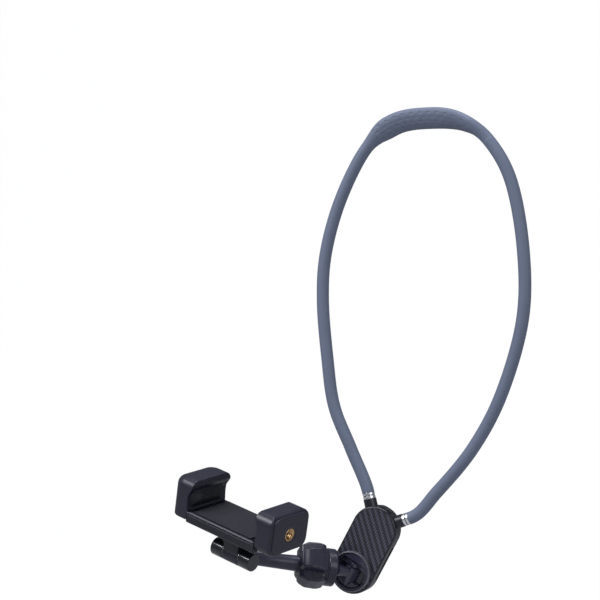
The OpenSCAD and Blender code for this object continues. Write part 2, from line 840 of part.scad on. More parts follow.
// rings of the bent bar: its middle line is an arc, and it grows thinner toward the hinge
function bar_ring(t) =
    let(a = arm_bend * t, r = (arm_d + (arm_tip_d - arm_d) * t) / 2 - running,
        c = [arm_r * (1 - cos(a)), 0, nut_end + arm_r * sin(a) - (t == 0 ? over : 0)],
        u = [cos(a), 0, -sin(a)], v = [0, 1, 0])
    [for (k = [0 : bar_sides - 1]) c + u * r * cos(360 * k / bar_sides) + v * r * sin(360 * k / bar_sides)];

// the bar stops short of the hinge's barrel
bar_stop = 1 - (bar_end - over) / (arm_r * arm_bend * PI / 180);

module arm() {
    color(dark) difference() {
        at_arm() difference() {
            union() {
                rotate_extrude() polygon([
                    [0, 0], [socket_d / 2, 0], [socket_d / 2, socket_len],
                    [socket_d / 2 - slack, socket_len], [arm_d / 2, cone_end - nut_tail_wall], [arm_d / 2, nut_end],
                    [0, nut_end]
                ]);
                rod_skin([for (k = [bend_steps : -1 : 0]) bar_ring(bar_stop * k / bend_steps)]);
            }
            sphere(r = socket_r);
        }
        // flat end, square to the hinge, with its screw's bore
        at_arm_end() {
            translate([-hinge_len, -hinge_len, -bar_end]) cube([2 * hinge_len, 2 * hinge_len, hinge_len]);
            translate([0, -hinge_rise, -bar_end - fork_bite]) cylinder(h = fork_bite + over, d = fork_screw_d);
        }
    }
}

// ---- hinge; X runs along its barrel, Z away from the arm

fork_h = 8;
washer_w = 0.4;
outer_from = middle_w / 2 + washer_w + 2 * running;
hinge_bolt_d = 4;
cap_d = 10;
cap_t = 1.2;
head_d = 7.4;
head_h = 2.6;
head_at = hinge_len / 2 - cap_t - head_h - slack;

module along_x(from, to, d) translate([from, 0, 0]) rotate([0, 90, 0]) cylinder(h = to - from, d = d);

module hinge_fork() {
    low = arm_tip_d / 2 + hinge_rise + slack;
    color(black) at_arm_end() difference() {
        union() {
            for (side = [0, 1]) mirror([side, 0, 0]) {
                along_x(outer_from, hinge_len / 2, hinge_d);
                translate([outer_from, -fork_h / 2, -fork_back - fork_web])
                    cube([hinge_len / 2 - outer_from - cap_t, fork_h, fork_back + fork_web]);
            }
            translate([-outer_from - over, -low, -fork_back - fork_web]) cube([2 * (outer_from + over), low + fork_h / 2, fork_web]);
        }
        along_x(-hinge_len, hinge_len, hinge_bolt_d + 2 * running);
        for (side = [0, 1]) mirror([side, 0, 0]) {
            along_x(head_at, hinge_len, head_d + slack);
            along_x(hinge_len / 2 - cap_t, hinge_len, cap_d + 2 * running);
        }
        translate([0, -hinge_rise, -bar_end - over]) cylinder(h = hinge_len / 2, d = fork_screw_d + 2 * running);
        translate([0, -hinge_rise, -fork_back - fork_head_h - running]) cylinder(h = hinge_len / 2, d = fork_head_d + slack);
    }
}

module fork_screw() {
    color(steel) at_arm_end() translate([0, -hinge_rise, -fork_back - fork_head_h]) difference() {
        union() {
            cylinder(h = fork_head_h, d = fork_head_d);
            translate([0, 0, -fork_web + fork_head_h - fork_bite + running]) cylinder(h = fork_web + fork_bite - fork_head_h, d = fork_screw_d);
        }
        translate([0, 0, fork_head_h / 2]) cylinder(h = fork_head_h, d = fork_screw_d, $fn = 6);
    }
}

module hinge_bolt() {
    color(steel) at_arm_end() union() {
        along_x(-head_at - head_h + slack, head_at + slack, hinge_bolt_d);
        along_x(head_at + running, head_at + head_h, head_d);
    }
}

module hinge_nut() {
    color(steel) at_arm_end() difference() {
        translate([-head_at - head_h, 0, 0]) rotate([0, 90, 0]) cylinder(h = head_h - running, d = head_d, $fn = 6);
        along_x(-hinge_len, hinge_len, hinge_bolt_d);
    }
}

module hinge_caps() {
    color(black) at_arm_end() for (side = [0, 1]) mirror([side, 0, 0])
        along_x(hinge_len / 2 - cap_t + running, hinge_len / 2, cap_d);
}

module hinge_washers() {
    color(steel) at_arm_end() for (side = [0, 1]) mirror([side, 0, 0]) difference() {
        along_x(middle_w / 2 + running, middle_w / 2 + running + washer_w, hinge_d - 1);
        along_x(0, hinge_len, hinge_bolt_d + 2 * running);
    }
}

// ---- clip; X along the tray toward the fixed jaw, Y across it, Z up

body_z0 = tray_rise - tray_t;
body_t = 2.9;
slide_gap = 0.1;
plate_z0 = body_z0 + body_t + slide_gap;
rail_w = 1.6;
rail_h = 0.9;
bracket_t = 9;
bracket_spread = 5;
tongue = 4.5;
half_gap = clip_gap / 2;
jaw_round = 7;
jaw_side_round = 6;
groove_r = 1.35;
spring_y = 9;

module bracket() {
    rotate([90, 0, 90]) linear_extrude(middle_w, center = true) polygon([
        [-bracket_t / 2, 0], [bracket_t / 2, 0], [(bracket_t + bracket_spread) / 2, body_z0], [-(bracket_t + bracket_spread) / 2, body_z0]
    ]);
    translate([0, 0, body_z0 - washer_w * 4]) linear_extrude(washer_w * 4, scale = 1.12)
        square([middle_w + 2, bracket_t + bracket_spread + 2], center = true);
}

module clip_base() {
    color(black) at_clip() difference() {
        union() {
            along_x(-middle_w / 2, middle_w / 2, hinge_d);
            bracket();
            translate([-half_gap, -clip_w / 2, body_z0]) cube([clip_gap + tongue, clip_w, body_t]);
            for (side = [-1, 1]) translate([-half_gap, side * (clip_w - rail_w) / 2 - rail_w / 2, body_z0])
                cube([clip_gap, rail_w, body_t + rail_h]);
        }
        along_x(-hinge_len, hinge_len, hinge_bolt_d + 2 * running);
        for (side = [-1, 1]) translate([0, side * spring_y, body_z0 + body_t]) along_x(-half_gap + 2, half_gap - 2, 2 * groove_r);
        for (y = clip_screw_ys) translate([half_gap + tongue / 2, y, 0]) cylinder(h = tray_rise * 2, r = clip_screw_d / 2 + running);
    }
}
clip_screw_d = 2.4;
clip_screw_ys = [-clip_w * 0.33, clip_w * 0.33];
clip_screw_head = 4.4;
clip_head_h = 1.3;
clip_screw_len = 12;

// a jaw's side outline: inner face with its lip, rounded outer shoulder
module jaw_side(t, down, round_r) {
    top = jaw_h;
    polygon(concat(
        [[0, -down], [0, lip], [lip * 0.2, top * 0.45], [-lip * 0.45, top * 0.75], [-lip, top * 0.85]],
        [[-lip * 0.6, top * 0.97]],
        [for (k = [edge_steps : -1 : 0]) let(a = 90 * k / edge_steps) [t - round_r * (1 - cos(a)), top - round_r * (1 - sin(a))]],
        [[t, -down]]
    ));
}

// a jaw's end outline, from below its foot to its rounded top
module jaw_end(down, round_r, inset) {
    w = clip_w / 2 - inset;
    top = jaw_h - inset;
    polygon(concat(
        [[-w, -down + inset], [w, -down + inset]],
        [for (k = [0 : edge_steps * 2]) let(a = 45 * k / edge_steps) [w - round_r * (1 - cos(a)), top - round_r * (1 - sin(a))]],
        [for (k = [0 : edge_steps * 2]) let(a = 45 * k / edge_steps) [-w + round_r * (1 - sin(a)), top - round_r * (1 - cos(a))]]
    ));
}

module jaw_block(t, down, round_r) {
    intersection() {
        rotate([90, 0, 0]) linear_extrude(clip_w, center = true) jaw_side(t, down, round_r);
        translate([-jaw_t, 0, 0]) rotate([90, 0, 90]) linear_extrude(t + 2 * jaw_t) jaw_end(down, jaw_side_round, 0);
    }
}

pad_thick = 1;
pad_sink = 0.7;
pad_margin = 4.5;
jaw_pad_top = 0.62;

// room for a jaw's soft pad, and the pad itself; both lie on the jaw's inner face
module jaw_pad_shape(depth, grow) {
    translate([pad_sink - depth, -clip_w / 2 + pad_margin - grow, lip - grow])
        cube([depth, clip_w - 2 * pad_margin + 2 * grow, jaw_h * jaw_pad_top - lip + 2 * grow]);
}

end_plate_t = 1.2;
end_plate_inset = 0.5;
end_border = 2.4;
insert_len = 9;
end_z = (jaw_h - jaw_drop) / 2;

module fixed_jaw() {
    color(dark) at_clip() translate([half_gap, 0, tray_rise]) difference() {
        jaw_block(fixed_jaw_t, jaw_drop, jaw_round / 2);
        jaw_pad_shape(pad_sink + over + lip, running);
        translate([fixed_jaw_t - end_plate_t - end_plate_inset, 0, 0]) rotate([90, 0, 90])
            linear_extrude(fixed_jaw_t) jaw_end(jaw_drop, jaw_side_round, end_border);
        translate([0, 0, end_z]) along_x(fixed_jaw_t - insert_len, fixed_jaw_t + over, insert_d);
        translate([-over, -clip_w / 2 - over, -tray_t - running]) cube([over + tongue + running, clip_w + 2 * over, body_t + 2 * running]);
        for (y = clip_screw_ys) translate([tongue / 2, y, -jaw_drop - over]) {
            cylinder(h = over + clip_head_h + running, r = clip_screw_head / 2 + running);
            cylinder(h = over + clip_screw_len + running * 2, d = clip_screw_d);
        }
    }
}

module end_plate() {
    color(black) at_clip() translate([half_gap + fixed_jaw_t - end_plate_t - end_plate_inset + running, 0, tray_rise]) difference() {
        rotate([90, 0, 90]) linear_extrude(end_plate_t) jaw_end(jaw_drop, jaw_side_round, end_border + running);
        translate([0, 0, end_z]) along_x(-over, end_plate_t + over, insert_d + 2 * running);
    }
}

module brass_insert() {
    out = half_gap + fixed_jaw_t - end_plate_inset;
    color(brass) at_clip() translate([0, 0, tray_rise + end_z]) difference() {
        along_x(half_gap + fixed_jaw_t - insert_len + running, out, insert_d);
        along_x(half_gap + fixed_jaw_t - insert_len - over, out + over, insert_bore);
    }
}

module fixed_jaw_pad() {
    color(black) at_clip() translate([half_gap, 0, tray_rise]) jaw_pad_shape(pad_thick, 0);
}

module clip_screws() {
    color(steel) at_clip() for (y = clip_screw_ys) translate([half_gap + tongue / 2, y, tray_rise - jaw_drop + running]) difference() {
        union() {
            cylinder(h = clip_head_h, d = clip_screw_head);
            cylinder(h = clip_screw_len, d = clip_screw_d);
        }
        translate([0, 0, -over]) cylinder(h = over + clip_head_h / 2, d = clip_screw_d / 2, $fn = 6);
    }
}

jaw_spring_wire = 0.4;
jaw_spring_curls = 12;
module jaw_springs() {
    d = 2 * groove_r - slack;
    color(steel) at_clip() for (side = [-1, 1])
        translate([-half_gap + 2 + running, side * spring_y, body_z0 + body_t]) rotate([0, 90, 0])
            coil(d, jaw_spring_wire, clip_gap - 4 - 2 * running, jaw_spring_curls);
}

tray_edge = 0.15;
module sliding_jaw() {
    plate_w = clip_w - 2 * tray_edge;
    color(dark) at_clip() difference() {
        union() {
            translate([-half_gap, 0, tray_rise]) mirror([1, 0, 0]) jaw_block(jaw_t, tray_t, jaw_round);
            difference() {
                translate([-half_gap - over, -plate_w / 2, plate_z0]) cube([clip_gap + over - seat_gap, plate_w, tray_rise - plate_z0]);
                for (side = [-1, 1])
                    translate([-half_gap, side * (clip_w - rail_w) / 2 - rail_w / 2 - running, plate_z0 - over])
                        cube([clip_gap + over, rail_w + 2 * running + tray_edge, over + rail_h]);
            }
        }
        translate([-half_gap, 0, tray_rise]) mirror([1, 0, 0]) jaw_pad_shape(pad_sink + over + lip, running);
        for (side = [-1, 1]) translate([0, side * spring_y, body_z0 + body_t])
            along_x(-half_gap + 2 - running, half_gap + over, 2 * groove_r);
        translate([-half_gap + pad_margin, -clip_w / 2 + tray_margin, tray_rise - pad_sink])
            cube([clip_gap - 2 * pad_margin, clip_w - 2 * tray_margin, pad_thick + over]);
    }
}
tray_margin = 2;

module sliding_jaw_pad() {
    color(black) at_clip() translate([-half_gap, 0, tray_rise]) mirror([1, 0, 0]) jaw_pad_shape(pad_thick, 0);
}

module tray_pad() {
    color(black) at_clip() translate([-half_gap + pad_margin + running, -clip_w / 2 + tray_margin + running, tray_rise - pad_sink])
        cube([clip_gap - 2 * pad_margin - 2 * running, clip_w - 2 * tray_margin - 2 * running, pad_thick]);
}

neck_sleeve_left();
neck_sleeve_right();
neck_pad();
core_wire();
ferrule_left();
ferrule_right();
plug_left();
plug_right();
base_front_shell();
base_rear_shell();
weave_plate();
base_screws();
release_button();
latch_bar();
button_spring();
turret_ring();
turret_cup();
turret_screw();
turret_washer();
knuckle_pin();
flip_knuckle();
ball_stud();
ball_seat();
pressure_ring();
lock_nut();
arm();
hinge_fork();
fork_screw();
hinge_bolt();
hinge_nut();
hinge_caps();
clip_base();
hinge_washers();
fixed_jaw();
end_plate();
brass_insert();
fixed_jaw_pad();
clip_screws();
jaw_springs();
sliding_jaw();
sliding_jaw_pad();
tray_pad();
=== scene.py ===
"""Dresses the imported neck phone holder: silicone loop, woven base, ball joint, arm and phone clip."""

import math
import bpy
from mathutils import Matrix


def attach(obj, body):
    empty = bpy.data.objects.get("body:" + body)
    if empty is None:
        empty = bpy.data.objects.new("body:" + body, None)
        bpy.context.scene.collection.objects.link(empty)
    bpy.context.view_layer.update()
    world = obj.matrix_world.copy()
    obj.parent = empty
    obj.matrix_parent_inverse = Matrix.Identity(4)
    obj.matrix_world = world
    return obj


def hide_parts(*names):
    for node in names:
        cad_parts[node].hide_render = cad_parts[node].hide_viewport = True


bl_info = {
    "name": "Neck Phone Holder",
    "version": (1, 0, 0),
    "blender": (4, 5, 0),
    "location": "3D View > Sidebar > Holder",
    "description": "Builds the surfaces and finishes of a neck phone holder around its packed frame",
    "category": "Add Mesh",
}

import bpy
import numpy as np
from mathutils import Vector

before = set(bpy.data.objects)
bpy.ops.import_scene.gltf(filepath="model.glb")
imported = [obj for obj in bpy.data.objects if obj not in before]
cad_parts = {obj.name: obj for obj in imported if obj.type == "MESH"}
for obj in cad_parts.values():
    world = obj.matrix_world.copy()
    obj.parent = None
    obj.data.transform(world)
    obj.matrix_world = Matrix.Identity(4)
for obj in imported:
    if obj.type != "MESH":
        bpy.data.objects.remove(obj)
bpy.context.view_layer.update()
# a millimetre in metres, and a metre in millimetres
MM, METRE = 0.001, 1000.0


# places

class Spot:
    """A place and a turn in the part's frame, in millimetres."""

    def __init__(self, place=(0.0, 0.0, 0.0), axes=None):
        self.place = np.array(place, float)
        self.axes = np.eye(3) if axes is None else axes

    def at(self, x=0.0, y=0.0, z=0.0):
        return Spot(self.place + self.axes @ np.array([x, y, z], float), self.axes)

    def turn(self, axis, degrees):
        a = math.radians(degrees)
        c, s = math.cos(a), math.sin(a)
        turns = {
            "x": [[1, 0, 0], [0, c, -s], [0, s, c]],
            "y": [[c, 0, s], [0, 1, 0], [-s, 0, c]],
            "z": [[c, -s, 0], [s, c, 0], [0, 0, 1]],
        }
        return Spot(self.place, self.axes @ np.array(turns[axis], float))

    def put(self, points):
        """Points of this spot carried into the part's frame."""
        return np.asarray(points, float) @ self.axes.T + self.place


# the base's place and lean, half the distance between the centres of its round ends, and the angle of its plugs
BASE_PLACE = (-46.4, 0, -276.1)
BASE_LEAN, HALF_PITCH, PLUG_ANGLE = 28.5, 15.8, 42
# the photographed pose, in degrees
KNUCKLE_FOLD, BALL_TILT, BALL_SIDE_TILT, BALL_TWIST, HINGE_TWIST, CLIP_FOLD = -36, -19, 15, 22, -14, -72
# the turret's height on the base, the way from the knuckle's pin to the ball, the nut's far end
TURRET_UP, STEM, NUT_END = 6.2, 22, 18.0
# the arm's radius and its bend
ARM_R, ARM_BEND = 68.0, 42.0
BEND = math.radians(ARM_BEND)

BASE = Spot().at(*BASE_PLACE).turn("y", BASE_LEAN).turn("x", 90)
TURRET = BASE.at(0, -HALF_PITCH, TURRET_UP)
KNUCKLE = TURRET.at(0, -1.5, 1).turn("y", KNUCKLE_FOLD)
BALL = KNUCKLE.at(0, 0, STEM)
ARM = BALL.turn("y", BALL_TILT).turn("x", BALL_SIDE_TILT).turn("z", BALL_TWIST)
ARM_END = (
    ARM.at(ARM_R * (1 - math.cos(BEND)), 0, NUT_END + ARM_R * math.sin(BEND))
    .turn("y", ARM_BEND).turn("z", HINGE_TWIST).at(0, 1.5, 0)
)
CLIP = ARM_END.turn("x", CLIP_FOLD)


# meshes

def smooth_step(t):
    """0 below 0, 1 above 1, and 3t^2 - 2t^3 between."""
    t = np.clip(t, 0, 1)
    return t * t * (3 - 2 * t)


def circle(sides):
    """Angles of the points of a circle."""
    return np.linspace(0, 2 * np.pi, sides, endpoint=False)


def mesh_piece(name, points, faces, spot=None):
    """An object whose mesh holds the points, carried from the spot into metres."""
    points = np.asarray(points, float).reshape(-1, 3)
    if spot is not None:
        points = spot.put(points)
    mesh = bpy.data.meshes.new(name)
    loops = np.concatenate([f.ravel() for f in faces])
    counts = np.concatenate([np.full(len(f), f.shape[1]) for f in faces])
    mesh.vertices.add(len(points))
    mesh.vertices.foreach_set("co", (points * MM).astype(np.float32).ravel())
    mesh.loops.add(len(loops))
    mesh.loops.foreach_set("vertex_index", loops.astype(np.int32))
    mesh.polygons.add(len(counts))
    mesh.polygons.foreach_set("loop_start", np.concatenate([[0], np.cumsum(counts)[:-1]]).astype(np.int32))
    mesh.polygons.foreach_set("loop_total", counts.astype(np.int32))
    mesh.update(calc_edges=True)
    mesh.validate()
    mesh.polygons.foreach_set("use_smooth", np.ones(len(mesh.polygons), bool))
    piece = bpy.data.objects.new(name, mesh)
    bpy.context.scene.collection.objects.link(piece)
    return piece


def face_outward(piece):
    """Turns the mesh's faces outward where its volume came out negative."""
    mesh = piece.data
    mesh.calc_loop_triangles()
    co = np.empty(len(mesh.vertices) * 3, np.float32)
    mesh.vertices.foreach_get("co", co)
    tri = np.empty(len(mesh.loop_triangles) * 3, np.int32)
    mesh.loop_triangles.foreach_get("vertices", tri)
    a, b, c = co.reshape(-1, 3)[tri.reshape(-1, 3)].transpose(1, 0, 2)
    if np.einsum("ij,ij->i", a, np.cross(b, c)).sum() < 0:
        mesh.flip_normals()
    return piece


def grid_faces(nu, nv, around=True):
    """Quads over a grid of nu rows and nv columns; around joins the last column to the first."""
    last = nv if around else nv - 1
    i, j = np.meshgrid(np.arange(nu - 1), np.arange(last), indexing="ij")
    k = (j + 1) % nv
    return np.stack([i * nv + j, i * nv + k, (i + 1) * nv + k, (i + 1) * nv + j], -1).reshape(-1, 4)


def closed_skin(name, rings, spot=None):
    """A skin over rings of points, with a fan at each end."""
    nu, nv = rings.shape[:2]
    points = np.concatenate([rings.reshape(-1, 3), [rings[0].mean(0), rings[-1].mean(0)]])
    j = np.arange(nv)
    k = (j + 1) % nv
    first, last = nu * nv, nu * nv + 1
    faces = [
        grid_faces(nu, nv),
        np.stack([k, j, np.full(nv, first)], -1),
        np.stack([(nu - 1) * nv + j, (nu - 1) * nv + k, np.full(nv, last)], -1),
    ]
    return face_outward(mesh_piece(name, points, faces, spot))


def looped(name, rings, spot):
    """A skin over rings of points whose last ring is joined to the first, like a tube bent into a ring."""
    nu, nv = rings.shape[:2]
    j = np.arange(nv)
    k = (j + 1) % nv
    join = np.stack([(nu - 1) * nv + j, (nu - 1) * nv + k, k, j], -1)
    return face_outward(mesh_piece(name, rings, [grid_faces(nu, nv), join], spot))


def turned_rings(profile, angles):
    """Rings of points about Z, one for each of the profile's rows of radius and height."""
    r, z = profile[:, :1], profile[:, 1:]
    return np.stack([r * np.cos(angles), r * np.sin(angles), np.repeat(z, len(angles), 1)], -1)


def turned_ring(name, profile, spot, sides):
    """A closed profile of radii and heights turned about the spot's Z; a last point that repeats the first goes."""
    profile = np.asarray(profile, float)
    profile = profile[:-1] if np.allclose(profile[0], profile[-1]) else profile
    return looped(name, turned_rings(profile, circle(sides)), spot)


def softened(profile, radius, steps=5):
    """A profile whose corners are rounded: each inner corner becomes a quadratic curve that starts and ends
    at most the radius, or 45 % of the shorter side, away from it."""
    p = np.asarray(profile, float)
    out = [p[0]]
    t = np.linspace(0, 1, steps + 1)[:, None]
    for before, corner, after in zip(p[:-2], p[1:-1], p[2:]):
        back, ahead = before - corner, after - corner
        lb, la = np.linalg.norm(back), np.linalg.norm(ahead)
        r = min(radius, 0.45 * lb, 0.45 * la)
        a, b = corner + back / lb * r, corner + ahead / la * r
        out.extend((1 - t) ** 2 * a + 2 * t * (1 - t) * corner + t ** 2 * b)
    out.append(p[-1])
    return np.array(out)


def barrel(name, low, high, low_r, spot):
    """A knuckle of the hinge: a plain drum about the spot's Z from low to high, with soft edges; low_r is its radius
    at the low end. Its profile starts and ends beside the axis, so that the ends shade flat."""
    beside, flat, r = 0.5, 4.9, 5.8
    profile = [[beside, low], [flat, low], [low_r, low], [r, high], [flat, high], [beside, high]]
    return closed_skin(name, turned_rings(softened(profile, 0.45), circle(96)), spot)


def joined(radius, *walls):
    """Walls joined with round edges: the root of the sum of squares of what each wall's distance has above minus
    the radius, less the radius. Distances are negative inside."""
    return np.sqrt(sum(np.maximum(wall + radius, 0) ** 2 for wall in walls)) - radius


def window(distance, soft):
    """1 deep inside a border, 0 outside it, with a smooth slope as wide as soft."""
    return smooth_step(-distance / soft)


def box_grid(low, high, counts):
    """Points over the six sides of a box, and the quads between them. Along each axis 0.55 of the place is even
    and 0.45 follows a quarter sine, which draws the points closer together toward the edges."""
    lines = []
    for count in counts:
        u = np.linspace(-1, 1, count + 1)
        lines.append(0.55 * u + 0.45 * np.sin(np.pi / 2 * u))
    points, quads, start = [], [], 0
    for axis in range(3):
        a, b = (axis + 1) % 3, (axis + 2) % 3
        ua, ub = np.meshgrid(lines[a], lines[b], indexing="ij")
        for side in (-1.0, 1.0):
            face = np.empty(ua.shape + (3,))
            face[..., axis], face[..., a], face[..., b] = side, ua, ub
            points.append(face.reshape(-1, 3))
            q = grid_faces(len(lines[a]), len(lines[b]), around=False) + start
            quads.append(q if side < 0 else q[:, ::-1])
            start += ua.size
    unit = np.round(np.concatenate(points), 9)
    unit, back = np.unique(unit, axis=0, return_inverse=True)
    middle, half = (low + high) / 2, (high - low) / 2
    return middle + unit * half, back.reshape(-1)[np.concatenate(quads)]


# how many times carved halves, and how far past its box it looks, as a share of the way out
HALVINGS, REACH = 22, 1.6


def carved(name, low, high, pitch, inside, spot):
    """A closed surface drawn onto a form: each point of a grid over a box moves along the line from the box's
    middle until the form's distance is zero, found by halving."""
    low, high = np.array(low, float), np.array(high, float)
    counts = np.maximum(4, np.round((high - low) / pitch).astype(int))
    points, quads = box_grid(low, high, counts)
    middle = (low + high) / 2
    way = points - middle
    near, far = np.zeros(len(way)), np.full(len(way), REACH)
    for _ in range(HALVINGS):
        mid = (near + far) / 2
        at = middle + way * mid[:, None]
        within = inside(at[:, 0], at[:, 1], at[:, 2]) < 0
        near, far = np.where(within, mid, near), np.where(within, far, mid)
    return face_outward(mesh_piece(name, middle + way * ((near + far) / 2)[:, None], [quads], spot))


def place_on(piece, body, material, replaces=()):
    """Gives a piece its material, its body and the CAD nodes that it stands for."""
    piece.data.materials.clear()
    piece.data.materials.append(material)
    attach(piece, body)
    if replaces:
        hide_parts(*replaces)
    return piece


def paint(node, material):
    """Gives a CAD node its finish."""
    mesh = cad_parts[node].data
    mesh.materials.clear()
    mesh.materials.append(material)


# shader maths

class Sock:
    """A node socket that Python operators turn into Math nodes."""

    def __init__(self, shade, socket):
        self.shade, self.socket = shade, socket

    def _math(self, operation, *others):
        return self.shade.math(operation, self, *others)

    def __add__(self, o): return self._math("ADD", o)
    def __mul__(self, o): return self._math("MULTIPLY", o)
    def __sub__(self, o): return self._math("SUBTRACT", o)
    def __rsub__(self, o): return self.shade.math("SUBTRACT", o, self)
    def __truediv__(self, o): return self._math("DIVIDE", o)
    def __lt__(self, o): return self._math("LESS_THAN", o)
    def __gt__(self, o): return self._math("GREATER_THAN", o)
    def __mod__(self, o): return self._math("FLOORED_MODULO", o)
    def __abs__(self): return self._math("ABSOLUTE")
    def floor(self): return self._math("FLOOR")
    def sine(self): return self._math("SINE")
    def most(self, o): return self._math("MAXIMUM", o)


class Shade:
    """One material's node tree."""

    def __init__(self, name):
        self.material = bpy.data.materials.new(name)
        self.material.use_nodes = True
        self.tree = self.material.node_tree
        self.tree.nodes.clear()
        self.coords = None

    def node(self, kind, settings=None, inputs=None, output=0):
        """Adds a node: settings first, then the values or links of its inputs; gives one output."""
        made = self.tree.nodes.new(kind)
        for key, value in (settings or {}).items():
            setattr(made, key, value)
        for key, value in (inputs or {}).items():
            if isinstance(value, Sock):
                self.tree.links.new(value.socket, made.inputs[key])
            elif value is not None:
                made.inputs[key].default_value = value
        return Sock(self, made.outputs[output])

    def math(self, operation, *values):
        return self.node("ShaderNodeMath", {"operation": operation}, dict(enumerate(values)))

    def point(self):
        """The shaded point in metres; one node serves the whole tree."""
        if self.coords is None:
            self.coords = self.node("ShaderNodeTexCoord", output="Object")
        return self.coords

    def place(self, spot):
        """X, Y and Z of the shaded point in millimetres, in a spot's frame: the point's dot product with each of
        the spot's axes, less the spot's own."""
        dot = {"operation": "DOT_PRODUCT"}
        return [
            self.node("ShaderNodeVectorMath", dot, {0: self.point(), 1: tuple(row * METRE)}, output="Value")
            - float(row @ spot.place)
            for row in spot.axes.T
        ]

    def noise(self, size, detail=3.0):
        """Noise between 0 and 1 with features of about the size in millimetres."""
        return self.node("ShaderNodeTexNoise", None, {
            "Vector": self.point(), "Scale": METRE / size, "Detail": detail, "Roughness": 0.5
        })

    def mix_colour(self, factor, a, b):
        """Colour a where the factor is 0, b where it is 1; 6, 7 and output 2 are the Mix node's colour sockets."""
        return self.node("ShaderNodeMix", {"data_type": "RGBA"}, {0: factor, 6: a, 7: b}, output=2)

    def bump(self, height, depth):
        """A bump whose height of 1 stands for the depth in millimetres."""
        return self.node("ShaderNodeBump", None, {"Strength": 1.0, "Distance": depth * MM, "Height": height})

    def surface(self, shader):
        """Ends the tree with the shader and gives the material."""
        out = self.tree.nodes.new("ShaderNodeOutputMaterial")
        self.tree.links.new(shader.socket, out.inputs["Surface"])
        return self.material

    def finish(self, colour, roughness, normal, metallic=0.0, coat=0.0, coat_roughness=0.1, specular=0.5):
        return self.surface(self.node("ShaderNodeBsdfPrincipled", None, {
            "Base Color": colour, "Roughness": roughness, "Metallic": metallic, "Coat Weight": coat,
            "Coat Roughness": coat_roughness, "Specular IOR Level": specular, "Normal": normal,
        }))


def lit(colour, gain):
    """A colour times a gain; a gain over 1 gives a lighter copy of one plastic, painted light for pieces that show
    brighter under the lamps.
    """
    return tuple(gain * c for c in colour)


def rgba(colour, gain=1.0):
    """A colour times a gain, at most 1, with full alpha."""
    return tuple(min(1.0, c * gain) for c in colour) + (1.0,)


def plastic_look(s, colour, roughness, grain):
    """Grain, tint and roughness of moulded plastic: a fine spark-eroded grain and slow changes of tone and gloss."""
    fine, slow = s.noise(grain, 2.0), s.noise(9.0)
    rough = slow * 0.14 + fine * 0.06 + (roughness - 0.1)
    return fine, s.mix_colour(slow, rgba(colour, 0.86), rgba(colour, 1.16)), rough


def moulded_plastic(name, colour, roughness, grain=0.25, coat=0.0):
    """Moulded black plastic."""
    s = Shade(name)
    fine, tint, rough = plastic_look(s, colour, roughness, grain)
    return s.finish(tint, rough, s.bump(fine, 0.012), coat=coat, specular=0.4)


def slot_shade_plastic(name, colour):
    """Moulded plastic with painted shade: a band of the side wall round the long slot, far wider than the slot, is
    painted near black and made duller.
    """
    s = Shade(name)
    x, y, z = s.place(BASE)
    fine, tint, rough = plastic_look(s, colour, 0.36, 0.25)
    # painted shade: the slot's shadow, drawn as a near-black band along the side wall
    band = (abs(z + 2.9) < 3.1) * (abs(y + 2.3) < 12.1) * (x > 12.0)
    tint = s.mix_colour(band, tint, rgba(colour, 0.12))
    return s.finish(tint, rough + band * 0.4, s.bump(fine, 0.012))


def silicone(name, colour):
    """Soft matt silicone: fine grain, dust-like lighter specks and a slow change of tone."""
    s = Shade(name)
    fine, slow, specks = s.noise(0.35, 2.0), s.noise(22.0, 2.0), s.noise(1.1, 4.0)
    tone = s.mix_colour(slow, rgba(colour, 0.93), rgba(colour, 1.06))
    dust = (specks - 0.62).most(0.0) * 0.5
    tint = s.mix_colour(dust, tone, rgba(colour, 1.35))
    return s.finish(tint, fine * 0.12 + 0.5, s.bump(fine, 0.02), specular=0.35)


def bright_metal(name, colour, roughness):
    """Plated or machined metal with fine turning marks and smudges."""
    s = Shade(name)
    fine, smudge = s.noise(0.4, 2.0), s.noise(3.0)
    return s.finish(rgba(colour), smudge * 0.12 + (roughness - 0.04), s.bump(fine, 0.004), metallic=1.0)


def twill_weave(name, colour, tow=1.3, thread=0.22):
    """Glossy woven plate: two sets of tows cross at right angles, each on top over two and under two, a step
    further in every row, so the changes run in diagonals. A tow is round across; the tows of one direction are
    painted lighter, and every tow is painted lighter at its crown and darker at its edges: painted sheen and shade."""
    s = Shade(name)
    x, y, _ = s.place(BASE)
    u, v = x / tow, y / tow
    i, j = u.floor(), v.floor()
    along = ((i + j) % 4.0) < 1.5
    other = 1.0 - along
    across = abs(u - i - 0.5) * 2.0 * along + abs(v - j - 0.5) * 2.0 * other
    crown = 1.0 - across * across
    wave = 2 * math.pi / thread
    threads = (x * wave).sine() * along + (y * wave).sine() * other
    # painted sheen and shade: the tows along one direction are painted much lighter, and each tow darker toward its
    # edges
    shade = (along * 0.8 + 0.08) * (crown * crown * 0.85 + 0.15)
    tint = s.mix_colour(shade, rgba(colour, 0.3), rgba(colour, 3.2))
    bump = s.bump(crown + threads * 0.05, 0.09)
    return s.finish(tint, 0.42 - along * 0.08, bump, coat=0.35, coat_roughness=0.2)


# the loop

# the route's inner points, as shares of the loop's width and of its drop
ROUTE_SHARES = np.array([
    [-0.412, 0.761], [-0.499, 0.659], [-0.534, 0.543], [-0.557, 0.406], [-0.541, 0.29], [-0.465, 0.163],
    [-0.3355, 0.044], [-0.189, -0.0125], [-0.005, -0.0235], [0.145, -0.011],
    [0.268, 0.032], [0.378, 0.13], [0.436, 0.29], [0.432, 0.4505], [0.3325, 0.622], [0.196, 0.7497],
    [0.022, 0.8547],
])
LOOP_W, BASE_DROP, PAD_RISE, TOP_SHARE, FIRST_PULL = 137.7, 276.1, 6.5, -0.0235, 0.8
